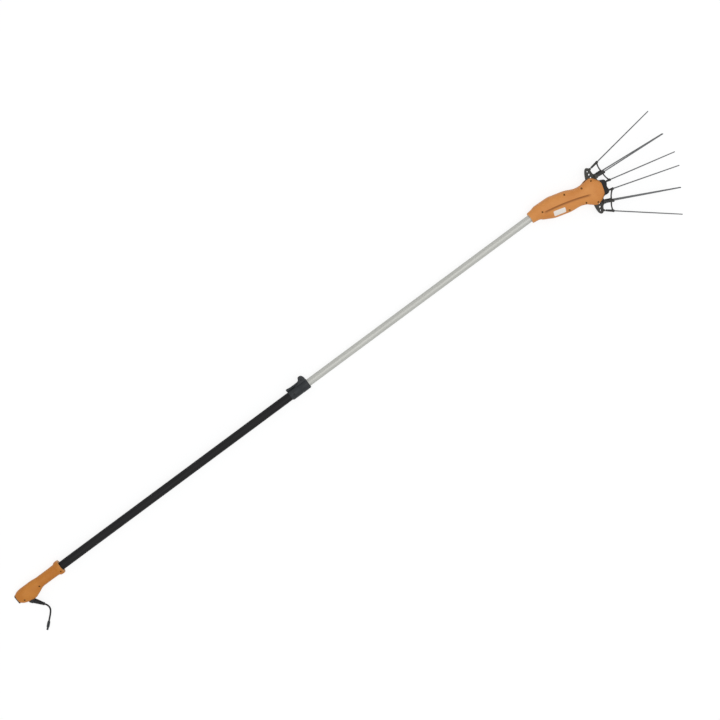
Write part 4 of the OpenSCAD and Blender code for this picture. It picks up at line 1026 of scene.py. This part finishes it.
# %% Head form
HEAD_LEN, HEAD_COLLAR, HEAD_W, HEAD_H, HEAD_WALL, HEAD_BORE = 316, 36, 57, 35, 3, 15.25
HEAD_BEND, BEND_X, SLOT_HALF, PIVOT_SHARE = math.radians(15.4), 2366, 10.5, 0.868
# Each ease is a start and a run, in shares of the head's length, or of the collar for the bend.
SQUARE_GAIN, SQUARE_EASE, SLOT_EASE = 0.7, (0.07, 0.13), (0.77, 0.025)
BEND_EASE, HOLLOW_EASE = (-0.33, 0.8), (0.1, 0.04)
head_width_shares = [
    (0, 0.395), (0.02, 0.415), (0.07, 0.45), (0.119, 0.53), (0.193, 0.63), (0.33, 0.77),
    (0.5, 0.77), (0.67, 0.65), (0.737, 0.7), (0.823, 0.93), (0.868, 1), (0.905, 0.94),
    (0.956, 0.74), (0.985, 0.58), (1, 0.46),
]
head_depth_shares = [
    (0, 0.643), (0.02, 0.675), (0.07, 0.715), (0.119, 0.8), (0.193, 0.91), (0.33, 1), (0.5, 1),
    (0.67, 0.91), (0.823, 0.87), (0.873, 0.855), (0.93, 0.77), (0.97, 0.62), (1, 0.43),
]
head_place = Matrix.Translation((BEND_X, 0, 0)) @ Matrix.Rotation(-HEAD_BEND, 4, "Z")


def head_form(t):
    """Half width, half depth, squareness and slot height at a share of the length."""
    return (HEAD_W * curve_at(t, head_width_shares), HEAD_H * curve_at(t, head_depth_shares),
            PLAIN_ROUND + SQUARE_GAIN * ease(t, *SQUARE_EASE), SLOT_HALF * ease(t, *SLOT_EASE))


def head_point(a, b, z):
    """A place in the head's frame, bent round into line with the pole in the collar."""
    turn = HEAD_BEND * (1 - ease(a / HEAD_COLLAR, *BEND_EASE))
    x, y = (a * math.cos(HEAD_BEND), a * math.sin(HEAD_BEND)) if a < 0 else (a, 0)
    return head_place @ Vector((x - b * math.sin(turn), y + b * math.cos(turn), z))


def head_height(a, b):
    half_w, half_h, square, _ = head_form((a + HEAD_COLLAR) / HEAD_LEN)
    return arch_height(half_w, half_h, square, b)


print("head is", [round(2 * v) for v in head_form(PIVOT_SHARE)[:2]], "mm at the comb pivots")

# %% The crease
CREASE_ENDS, CREASE_FADES, CREASE_MIDDLE, CREASE_ROUND = (16, 228), (16, 22), 115, 830
# Across the crease: how far a column lies from its line, and how deep it is sunk.
crease_columns = [
    (8, 0), (6, 0), (4.8, 0.1), (3.9, 0.4), (2.9, 0.9), (1.8, 1.2), (0.6, 1.3), (-0.6, 1.2),
    (-2, 0.9), (-3.4, 0.4), (-4.6, 0), (-5.6, -0.4), (-7, -0.3), (-9, 0),
]
# How strong the painted shade in the crease is, at each distance across its line.
crease_shade_shares = [(-8, 0), (-4.6, 0.25), (-0.6, 0.85), (0.6, 1), (3.2, 1), (4.8, 0)]


def crease_line(a):
    """The crease is a shallow arc that touches the head's middle half way along."""
    a = min(max(a, CREASE_ENDS[0]), CREASE_ENDS[1])
    return -(a - CREASE_MIDDLE) ** 2 / (2 * CREASE_ROUND)


def crease_share(a):
    """1 along the crease, fading out at its two ends."""
    (start, end), (rise, fall) = CREASE_ENDS, CREASE_FADES
    return ease(a, start, rise) * (1 - ease(a, end - fall, fall))


def paint_crease_shade(mesh):
    """Stores on the mesh how strongly the painted shade darkens the crease."""
    to_head = head_place.inverted()
    shade_and_soil = mesh.attributes.new("shade_and_soil", "FLOAT", "POINT")
    for vertex, item in zip(mesh.vertices, shade_and_soil.data):
        a, b, z = to_head @ (vertex.co / MM)
        offset = b - crease_line(a)
        if crease_shade_shares[0][0] < offset < crease_shade_shares[-1][0] and z > HEAD_H / 2:
            item.value = crease_share(a) * curve_at(offset, crease_shade_shares)


print("crease is", max(depth for _, depth in crease_columns), "mm deep")

# %% Head rings
HEAD_RINGS, FLANK_STEPS, LIP_TURN = 150, 20, 0.03


def head_ring(t, side):
    """One ring of a head half, with the crease sunk into the upper one."""
    a = HEAD_LEN * t - HEAD_COLLAR
    half_w, half_h, square, floor = head_form(t)
    crest, share = crease_line(a), crease_share(a)

    def turn_for(b):
        return math.acos(math.copysign(min(1, abs(b) / half_w) ** (square / 2), b))

    columns = [turn_for(crest + offset) for offset, _ in crease_columns]
    lip = turn_at(floor + SEAM_LIP, half_h, square) + LIP_TURN
    turns = (even(lip, columns[0], FLANK_STEPS)[:-1] + columns
             + even(columns[-1], math.pi - lip, FLANK_STEPS)[1:])
    over = outer_arch(half_w, half_h, square, floor, turns)
    first = len(over) // 2 - len(turns) // 2 + FLANK_STEPS
    if side > 0:
        for k, (_, depth) in enumerate(crease_columns):
            over[first + k][1] -= share * depth
    hollow = ease(t, *HOLLOW_EASE)
    in_w, in_h = [HEAD_BORE + (half - HEAD_WALL - HEAD_BORE) * hollow for half in (half_w, half_h)]
    low = turn_at(floor, in_h, square)
    under = [arch_point(in_w, in_h, square, turn)
             for turn in even(math.pi - low, low, len(over) - 1)]
    return [head_point(a, b, side * z) for b, z in over + under]


print("a head ring has", len(head_ring(0.5, 1)), "points")

# %% Head shells and their wells
HEAD_WELL, HEAD_MOUTH = 3.8, 0.8
long_screws = [(14.56, 0)]
long_screws += [(a, side * b) for a, b in ((120.42, 33.06), (195, 30.78)) for side in (-1, 1)]
short_screws = [(241.13, side * 45.03) for side in (-1, 1)]
head_screw_places = long_screws + short_screws


def head_spot(a, b):
    """A place on the head's middle plane, as x and y of the frame."""
    return (head_place @ Vector((a, b, 0)))[:2]


def holds_head(spot, side):
    """Long screws have their head in the upper half, and short ones sit in both halves."""
    return side > 0 or spot in short_screws


for side, half in HALVES:
    wells = []
    for spot in head_screw_places:
        if holds_head(spot, side):
            top = head_height(*spot)
            wells.append(drilled(*head_spot(*spot), HEAD_WELL, top - SCREW_SINK, top - MOUTH_DROP,
                                 side, HEAD_MOUTH))
    rings = [head_ring(t, side) for t in even(0, 1, HEAD_RINGS)]
    mesh = shaped("head_half", shell(rings), (), wells)
    if side > 0:
        # Painted shade for the crease, kept on the upper half's mesh.
        paint_crease_shade(mesh)
    add_piece("head_moulding_" + half, mesh, "head", head_amber, "orange_shell",
              "head_shell_" + half)

# %% Head bosses and screws
HEAD_BOSS, BOSS_DROP, PLATE_TOP, PILOT, HEAD_SCREW = 4.5, 0.8, 13.5, 1.9, (1.8, 3.6, 18)
head_screw = screw_solid(*HEAD_SCREW)
bosses, head_set = [], []
for side in (1, -1):
    for spot in head_screw_places:
        top = lowest_round(head_height, *spot, HEAD_BOSS) - BOSS_DROP
        seat = head_height(*spot) - SCREW_SINK
        foot = PLATE_TOP if spot in short_screws else SEAM_GAP
        profile = [(foot, PILOT), (foot, HEAD_BOSS), (top, HEAD_BOSS)]
        if holds_head(spot, side) and top > seat:
            profile += [(top, HEAD_WELL), (seat, HEAD_WELL), (seat, PILOT)]
        else:
            profile.append((top, PILOT))
        bosses.append(turned(profile, upright(*head_spot(*spot), side), True, WELL_SIDES))
for spot in head_screw_places:
    for side in (1, -1):
        if holds_head(spot, side):
            lift = Matrix.Translation((*spot, side * (head_height(*spot) - SCREW_SINK)))
            flip = Matrix.Rotation(0 if side > 0 else math.pi, 4, "X")
            head_set.append(placed(head_screw, head_place @ lift @ flip))
add_solids("head_screw_bosses", bosses, "head", head_amber, "orange_shell", "head_boss_set")
add_solids("head_screw_set", head_set, "head", yellow_zinc, "zinc_screw", "head_screws")

# %% [markdown]
# ## Blank plate
# Beside the crease sits a small white plate. It is a thin film that follows the curve of the
# shell, so it is a grid of points lifted a little off the head's own surface and given an edge.

# %% Blank plate on the head
PLATE_A, PLATE_B, PLATE_STEPS, PLATE_LIFTS = (56, 106), (-34, -13), (30, 14), (0.4, -0.3)
DRAWN_A, DRAWN_B, DRAWN_POWER = 0.04, 0.07, 8


def film_point(p, q, lift):
    """A point of the film for p and q from -1 to 1, with the corners drawn in."""
    p, q = p * (1 - DRAWN_A * q ** DRAWN_POWER), q * (1 - DRAWN_B * p ** DRAWN_POWER)
    a = sum(PLATE_A) / 2 + (PLATE_A[1] - PLATE_A[0]) / 2 * p
    b = sum(PLATE_B) / 2 + (PLATE_B[1] - PLATE_B[0]) / 2 * q
    return head_place @ Vector((a, b, head_height(a, b) + lift))


across, down = PLATE_STEPS
row, layer = down + 1, (across + 1) * (down + 1)
film, film_faces = [], []
for lift in PLATE_LIFTS:
    film += [film_point(p, q, lift) for p in even(-1, 1, across) for q in even(-1, 1, down)]
for i in range(across):
    for k in range(down):
        for start in (0, layer):
            s = start + i * row + k
            film_faces.append((s, s + 1, s + row + 1, s + row))
rim = ([i * row for i in range(across + 1)] + [across * row + k for k in range(1, row)]
       + [i * row + down for i in range(across - 1, -1, -1)] + list(range(down - 1, 0, -1)))
film_faces += [(p, q, q + layer, p + layer) for p, q in zip(rim, rim[1:] + rim[:1])]
add_solids("blank_plate", [(film, film_faces)], "head", plate_film, "grey_plastic")

# %% [markdown]
# ## Comb arms
# Each comb turns on a pin in the head. Its arm is a black moulding with three lightening holes, a
# socket for the outer rod, a post for the paired rods and a blunt nose for the inner rod. Teeth on
# the hub mesh with the other arm, and a fork on the upper arm takes the drive. The lower arm is the
# mirror of the upper one, without the fork and with its teeth moved on by half a step.

# %% Arm outlines
PIVOT_A, PIVOT_B, ARM_BENDS = 238, 22, 5
arm_shares = [
    (-0.6, -0.15), (-0.62, 0.4), (-0.55, 1.3), (-0.42, 2.2), (-0.22, 2.95), (0.05, 3.35),
    (0.42, 3.4), (0.75, 3.1), (0.88, 2.5), (1, 2), (1.6, 1.75), (1.68, 1.3), (1.35, 0.9),
    (1.7, 0.5), (2.2, 0.38), (2.75, 0.3), (2.86, -0.14), (2.75, -0.6), (2.2, -0.68),
    (1.4, -0.6), (0.7, -0.58), (0, -0.58),
]
hole_shares = [(0.3, 2.75), (0.36, 2.1), (0.46, 1.45)]
arm_corners, hole_places = [
    [Vector((PIVOT_A + PIVOT_B * x, PIVOT_B * (1 + y))) for x, y in shares]
    for shares in (arm_shares, hole_shares)]
arm_outline = []
for i, corner in enumerate(arm_corners):
    first = (arm_corners[i - 1] + corner) / 2
    last = (corner + arm_corners[(i + 1) % len(arm_corners)]) / 2
    arm_outline += [bow(first, corner, last, u) for u in even(0, 1, ARM_BENDS)[:-1]]
print("arm outline has", len(arm_outline), "points")

# %% Places of the rods
COMBS = ((1, "upper"), (-1, "lower"))
# A rod's sleeve end in the head's plan, its heading in degrees, and how far its root goes back.
RODS = {"outer_rod": ((296, 105), 23.9, 56), "paired_rods": ((304.5, 61), 10.9, 45),
        "inner_rod": ((322.5, 19), 2.0, 46)}
ROD_REACH, PAIR_LOW, PAIR_TIP = 283, 21, 5
PAIR_TILT = math.atan((PAIR_LOW - PAIR_TIP) / ROD_REACH)


def comb_place(side):
    """The head's frame, mirrored for the lower comb."""
    return head_place @ Matrix.Scale(side, 4, (0, 1, 0))


def rod_frames(kind, side):
    """Frames at a rod's sleeve end, along the rod; the paired rods have two."""
    (a, b), turn, _ = RODS[kind]
    turn = math.radians(turn)
    made = []
    for level in (1, -1) if kind == "paired_rods" else (0,):
        tilt = level * PAIR_TILT
        heading = (math.cos(turn) * math.cos(tilt), side * math.sin(turn) * math.cos(tilt),
                   -math.sin(tilt))
        made.append(head_place @ at((a, side * b, level * PAIR_LOW), heading))
    return made


def behind_sleeve(kind, distance):
    """A place on a rod's line in plan, behind its sleeve end."""
    (a, b), turn, _ = RODS[kind]
    turn = math.radians(turn)
    return Vector((a - distance * math.cos(turn), b - distance * math.sin(turn)))


print("paired rods lean", round(math.degrees(PAIR_TILT), 2), "degrees toward each other")

# %% Gear sector
COMB_TEETH, COMB_MODULE, PRESS = 22, 2.0, math.radians(25)
TOOTH_FILL, ADDENDUM, DEDENDUM, TOOTH_STEPS, TEETH_ASIDE = 0.95, 0.9, 1.15, 4, 2
comb_pitch = COMB_MODULE * COMB_TEETH / 2


def half_tooth(radius):
    """Half the angle that an involute tooth takes up at a radius."""
    base = comb_pitch * math.cos(PRESS)
    lean = 0 if radius <= base else math.acos(base / radius)
    return math.pi / 2 / COMB_TEETH * TOOTH_FILL + math.tan(PRESS) - PRESS - math.tan(lean) + lean


def sector_outline(half_steps):
    """The teeth on the side of the hub that meets the other arm, moved on by half steps."""
    root, tip = comb_pitch - DEDENDUM * COMB_MODULE, comb_pitch + ADDENDUM * COMB_MODULE
    radii = even(root, tip, TOOTH_STEPS)
    points = [Vector((PIVOT_A, PIVOT_B))]
    middle = -math.pi / 2 + math.pi / COMB_TEETH * half_steps
    for k in range(-TEETH_ASIDE, TEETH_ASIDE + 1 - half_steps):
        centre = middle + 2 * math.pi * k / COMB_TEETH
        flanks = [(r, centre - half_tooth(r)) for r in radii]
        flanks += [(r, centre + half_tooth(r)) for r in reversed(radii)]
        points += [Vector((PIVOT_A + r * math.cos(t), PIVOT_B + r * math.sin(t)))
                   for r, t in flanks]
    return points


print("comb gears are", 2 * comb_pitch, "mm across")

# %% Both arms
ARM_HALF, ARM_EDGE, ARM_HOLE, BUSH_HOLE, POST_BACK = 8, 1.8, 4.2, 7, 38.5
SECTOR_TOP, SECTOR_EDGE, FORK_CORNER, FORK_EDGE = -1, 0.25, 1.2, 0.6
knuckle = [(-41, 5.5), (-40, 7.2), (-38, 8), (-27, 8), (-23.5, 7.4), (-21.6, 5.6), (-21.4, 4.2)]
socket = [(-52, 4.6), (-46, 5.2), (-42, 5.2), (-40.4, 4.6), (-40, 3.6)]
post = [(-29.2, 4.6), (-28.6, 6.2), (-27.4, 7), (-14, 7), (-12, 6.4), (12, 6.4), (14, 7), (27.4, 7),
        (28.6, 6.2), (29.2, 4.6)]
fork_blocks = [((203, 10.1, -8), (221, 15.1, 8)), ((203, -10.1, -8), (221, -5.1, 8)),
               ((217.5, -10.1, 0.5), (223.5, 15.1, 8)), ((220, 10, 0.5), (232, 28, 8))]
arm_holes = [circle(x, y, ARM_HOLE, steps=20) for x, y in hole_places]
arm_holes.append(circle(PIVOT_A, PIVOT_B, BUSH_HOLE))
for side, word in COMBS:
    mirrored = comb_place(side)
    base = plate(arm_outline, -ARM_HALF, ARM_HALF, ARM_EDGE, arm_holes, mirrored)
    post_place = mirrored @ upright(*behind_sleeve("paired_rods", POST_BACK))
    added = [turned(post, post_place, steps=32),
             turned(knuckle, rod_frames("inner_rod", side)[0], steps=32),
             turned(socket, rod_frames("outer_rod", side)[0], steps=28)]
    sector = sector_outline(0 if side > 0 else 1)
    arm = [solid_of(shaped(word + "_arm", base, added)),
           plate(sector, -ARM_HALF, SECTOR_TOP, SECTOR_EDGE, (), mirrored)]
    for low, high in fork_blocks if side > 0 else ():
        corners = [low[:2], (high[0], low[1]), high[:2], (low[0], high[1])]
        outline = soften(corners, FORK_CORNER)
        arm.append(plate(outline, low[2], high[2], FORK_EDGE, (), mirrored))
    add_solids(word + "_arm_moulding", arm, word + "_comb", arm_nylon, "black_plastic",
               word + "_arm")

# %% [markdown]
# ## Nose guards
# Above and below the two arm noses a thin black guard sits in the mouth of the slot. Its two lobes
# keep twigs off the pivots. Each guard is one flat moulding, so an outline with a round edge is all
# it needs. It leaves the arms free to swing between the two.

# %% Nose guards
NOSE_LOW, NOSE_HIGH, NOSE_CORNER, NOSE_EDGE = 8.5, 10.3, 4, 0.7
nose_side = [(264, 0), (264, 27), (276, 31), (289, 30.5), (298, 26.5), (302, 18), (300.5, 9),
             (298, 3)]
nose_outline = soften(nose_side + [(a, -b) for a, b in reversed(nose_side[1:])], NOSE_CORNER)
nose_guards = [plate(nose_outline, low, high, NOSE_EDGE, (), head_place)
               for low, high in ((NOSE_LOW, NOSE_HIGH), (-NOSE_HIGH, -NOSE_LOW))]
add_solids("nose_guards", nose_guards, "head", black_rubber, "black_plastic")

# %% [markdown]
# ## Straps and sleeves
# A rubber strap ties the rods of each comb together: tapered sleeves grip the rods, and curved
# webs bow back between them. The webs are plates along a bent line, and the sleeves are turned
# with a bead at the mouth where the rod comes out.

# %% Webs and sleeves
STRAP_T, STRAP_H, STRAP_BOW, STRAP_EDGE, STRAP_STEPS = 5, 10, 7, 1.2, 14
WEB_WAIST, WEB_FLARE, SLEEVE_BORE = 0.8, 0.35, 2.6
sleeve_heel = [(0, -0.5), (0.6, 0)]
sleeve_mouth = [(-7, -0.2), (-6, 0.4), (-1.2, 0.4), (-0.3, 0), (0, -0.8)]


def web_outline(first, last):
    """Both sides of a web that bows back between two sleeves."""
    middle = (first + last) / 2 - Vector((STRAP_BOW, 0))
    sides = ([], [])
    for u in even(0, 1, STRAP_STEPS):
        run = ((1 - u) * (middle - first) + u * (last - middle)).normalized()
        half = STRAP_T / 2 * (WEB_WAIST + WEB_FLARE * (2 * u - 1) ** 2)
        for line, hand in zip(sides, (1, -1)):
            line.append(bow(first, middle, last, u) + hand * half * Vector((-run.y, run.x)))
    return sides[0] + sides[1][::-1]


def sleeve_profile(length, rear, front):
    """A sleeve that swells from its rear radius to its front one, with a bead at the mouth."""
    heel = [(x - length, rear + rise) for x, rise in sleeve_heel]
    mouth = [(x, front + rise) for x, rise in sleeve_mouth]
    return [(-length, SLEEVE_BORE), *heel, *mouth, (0, SLEEVE_BORE)]


print("sleeves have a bore of", 2 * SLEEVE_BORE, "mm")

# %% Both straps
SLEEVE_SIZES = {"outer_rod": (36, 4, 5), "paired_rods": (38, 5.3, 6.5), "inner_rod": (19, 4, 5)}
SLEEVE_FRONT = 5
stem = [(-22, 2.2), (-20, 3.2), (-6, 3.4), (6, 3.4), (20, 3.2), (22, 2.2)]
knots = [behind_sleeve(kind, SLEEVE_FRONT) for kind in RODS]
for side, word in COMBS:
    mirrored = comb_place(side)
    strap = []
    for kind, sizes in SLEEVE_SIZES.items():
        profile = sleeve_profile(*sizes)
        strap += [turned(profile, place, True, 28) for place in rod_frames(kind, side)]
    for first, last in zip(knots, knots[1:]):
        web = web_outline(first, last)
        strap.append(plate(web, -STRAP_H / 2, STRAP_H / 2, STRAP_EDGE, (), mirrored))
    strap.append(turned(stem, mirrored @ upright(*knots[1]), steps=24))
    add_solids(word + "_strap_moulding", strap, word + "_comb", strap_rubber, "black_rubber",
               word + "_strap")

# %% [markdown]
# ## Rods
# The rods are slim carbon with rounded tips. A rod could be a plain cylinder, but the rounded tip
# and the faint taper toward it are what keep a real one from snagging, so each is turned from a
# profile, and its own places are stored on the mesh for the fibres.

# %% Eight rods
ROD_RADIUS, ROOT_RADIUS, ROOT_BEVEL, WAIST_RADIUS, WAIST_SHARE = 2.5, 2.0, 0.5, 2.4, 0.6
TIP_RADIUS, TIP_LEN, TIP_TURN, TIP_STEPS = 2.1, 2.5, 1.35, 5


def rod_profile(root):
    tip = [(ROD_REACH - TIP_LEN * (1 - math.sin(t)), TIP_RADIUS * math.cos(t))
           for t in even(0, TIP_TURN, TIP_STEPS)]
    return [(-root, ROOT_RADIUS), (ROOT_BEVEL - root, ROD_RADIUS), (0, ROD_RADIUS),
            (ROD_REACH * WAIST_SHARE, WAIST_RADIUS), *tip]


for side, word in COMBS:
    for kind, (_, _, root) in RODS.items():
        places = rod_frames(kind, side)
        profile = rod_profile(root)
        mesh = mesh_of("rod", joined(*[turned(profile, place, steps=20) for place in places]))
        own = mesh.attributes.new("rod_place", "FLOAT_VECTOR", "POINT")
        inverses = [place.inverted() for place in places]
        for vertex, item in zip(mesh.vertices, own.data):
            spots = [inverse @ (vertex.co / MM) for inverse in inverses]
            item.vector = min(spots, key=lambda p: p.y ** 2 + p.z ** 2) * MM
        name = word + "_" + kind
        add_piece(name + "_carbon", mesh, word + "_comb", carbon, "carbon", name)

# %% [markdown]
# ## Pieces kept from the frame
# Tubes, gears, shafts, bushes and the motor already have their right shape in the CAD model, so
# they stay, and only take a finish. Most are hidden in the head, but they show when it is opened.

# %% Finishes for the kept pieces
kept_finishes = {
    charcoal_coat: ("outer_tube",),
    satin_tube: ("inner_tube",),
    grey_nylon: ("clamp_pad", "wiper_ring", "guide_bush"),
    black_rubber: ("motor_pads",),
    ground_steel: ("motor", "motor_shaft", "sun_gear", "planet_carrier", "drive_shaft",
                   "planet_gear_a", "planet_gear_b", "planet_gear_c", "shaft_bearings",
                   "eccentric_roller", "pivot_pins"),
    cast_alloy: ("gear_case", "gear_frame"),
    bush_bronze: ("upper_bush", "lower_bush"),
}
for finish, names in kept_finishes.items():
    for name in names:
        nodes[name].data.materials.clear()
        nodes[name].data.materials.append(finish)
print(sum(len(names) for names in kept_finishes.values()), "CAD pieces keep their shape")

# %% [markdown]
# ## Floor and light
# The tool rests on the handle's collar and on the belly of the head, which is a little deeper, so
# the floor leans by a fifth of a degree to touch both. Light is soft and plain: a bright sky on
# all sides and one broad sun, together about strong enough to show a colour as it was picked. The
# floor and the sky are white toward the camera, in reflections and through glass only. The floor
# keeps a share of its own shade there, so a faint shadow shows.

# %% Floor
FLOOR_HALF, FLOOR_FROM, FLOOR_TO = 40, (-6.5, -27.05), (2462, -35.05)
FLOOR_GLOW, FLOOR_SHINE, FLOOR_GREY, WHITE = 0.8, 1.04, (0.92, 0.92, 0.92, 1), (1, 1, 1, 1)
lean = (FLOOR_TO[1] - FLOOR_FROM[1]) / (FLOOR_TO[0] - FLOOR_FROM[0])


def shown(ink):
    """1 for what the camera sees straight, in a reflection or through glass."""
    rays = ("Is Camera Ray", "Is Glossy Ray", "Is Transmission Ray")
    straight, mirrored, through = [ink.node("LightPath", output=ray) for ray in rays]
    return 1 - (1 - straight) * (1 - mirrored) * (1 - through)


floor_points = []
for x, y in ((-1, -1), (1, -1), (1, 1), (-1, 1)):
    height = FLOOR_FROM[1] * MM + lean * (x * FLOOR_HALF - FLOOR_FROM[0] * MM)
    floor_points.append((x * FLOOR_HALF, y * FLOOR_HALF, height))
floor_mesh = bpy.data.meshes.new("studio_floor")
floor_mesh.from_pydata(floor_points, [], [(0, 1, 2, 3)])
floor = put("studio_floor", floor_mesh)
floor_finish, ink = new_finish("pale_floor")
paper = ink.node("BsdfDiffuse", {}, {"Color": FLOOR_GREY})
shine = ink.node("Emission", {}, {"Color": WHITE, "Strength": FLOOR_SHINE})
lit = ink.node("MixShader", {}, {0: shown(ink) * FLOOR_GLOW, 1: paper, 2: shine})
ink.node("OutputMaterial", {}, {"Surface": lit})
floor_mesh.materials.append(floor_finish)
floor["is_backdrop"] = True
print("floor leans", round(math.degrees(math.atan(lean)), 3), "degrees")

# %% Sky and sun
SKY_TINT, SKY_STRENGTH = (0.97, 0.985, 1, 1), 0.66
SUN_STRENGTH, SUN_WIDTH, SUN_HEADING = 1.05, math.radians(50), (-0.1, -0.05, -1)
world = bpy.data.worlds.new("studio_sky")
world.use_nodes = True
world.node_tree.nodes.clear()
sky = Ink(world.node_tree)
bright = sky.node("Background", {}, {"Color": WHITE, "Strength": 1.0})
soft = sky.node("Background", {}, {"Color": SKY_TINT, "Strength": SKY_STRENGTH})
both = sky.node("MixShader", {}, {0: shown(sky), 1: soft, 2: bright})
sky.node("OutputWorld", {}, {"Surface": both})
scene.world = world
sun_data = bpy.data.lights.new("broad_sun", "SUN")
sun_data.energy = SUN_STRENGTH
sun_data.angle = SUN_WIDTH
sun = put("broad_sun", sun_data)
sun.rotation_euler = Vector(SUN_HEADING).to_track_quat("-Z", "Y").to_euler()
scene.view_settings.view_transform = "Standard"
print("sun strength", sun_data.energy)

# %% [markdown]
# ## Size and finish
# The box of the dressed tool is measured beside the CAD model's and printed in millimetres.
# The dressed tool has to keep to the size of the CAD model.

new_low, new_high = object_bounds()
sizes = {"cad": [list(cad_low), list(cad_high)], "visual": [list(new_low), list(new_high)]}
print("visual box in mm:", [round(v / MM) for v in new_high - new_low])
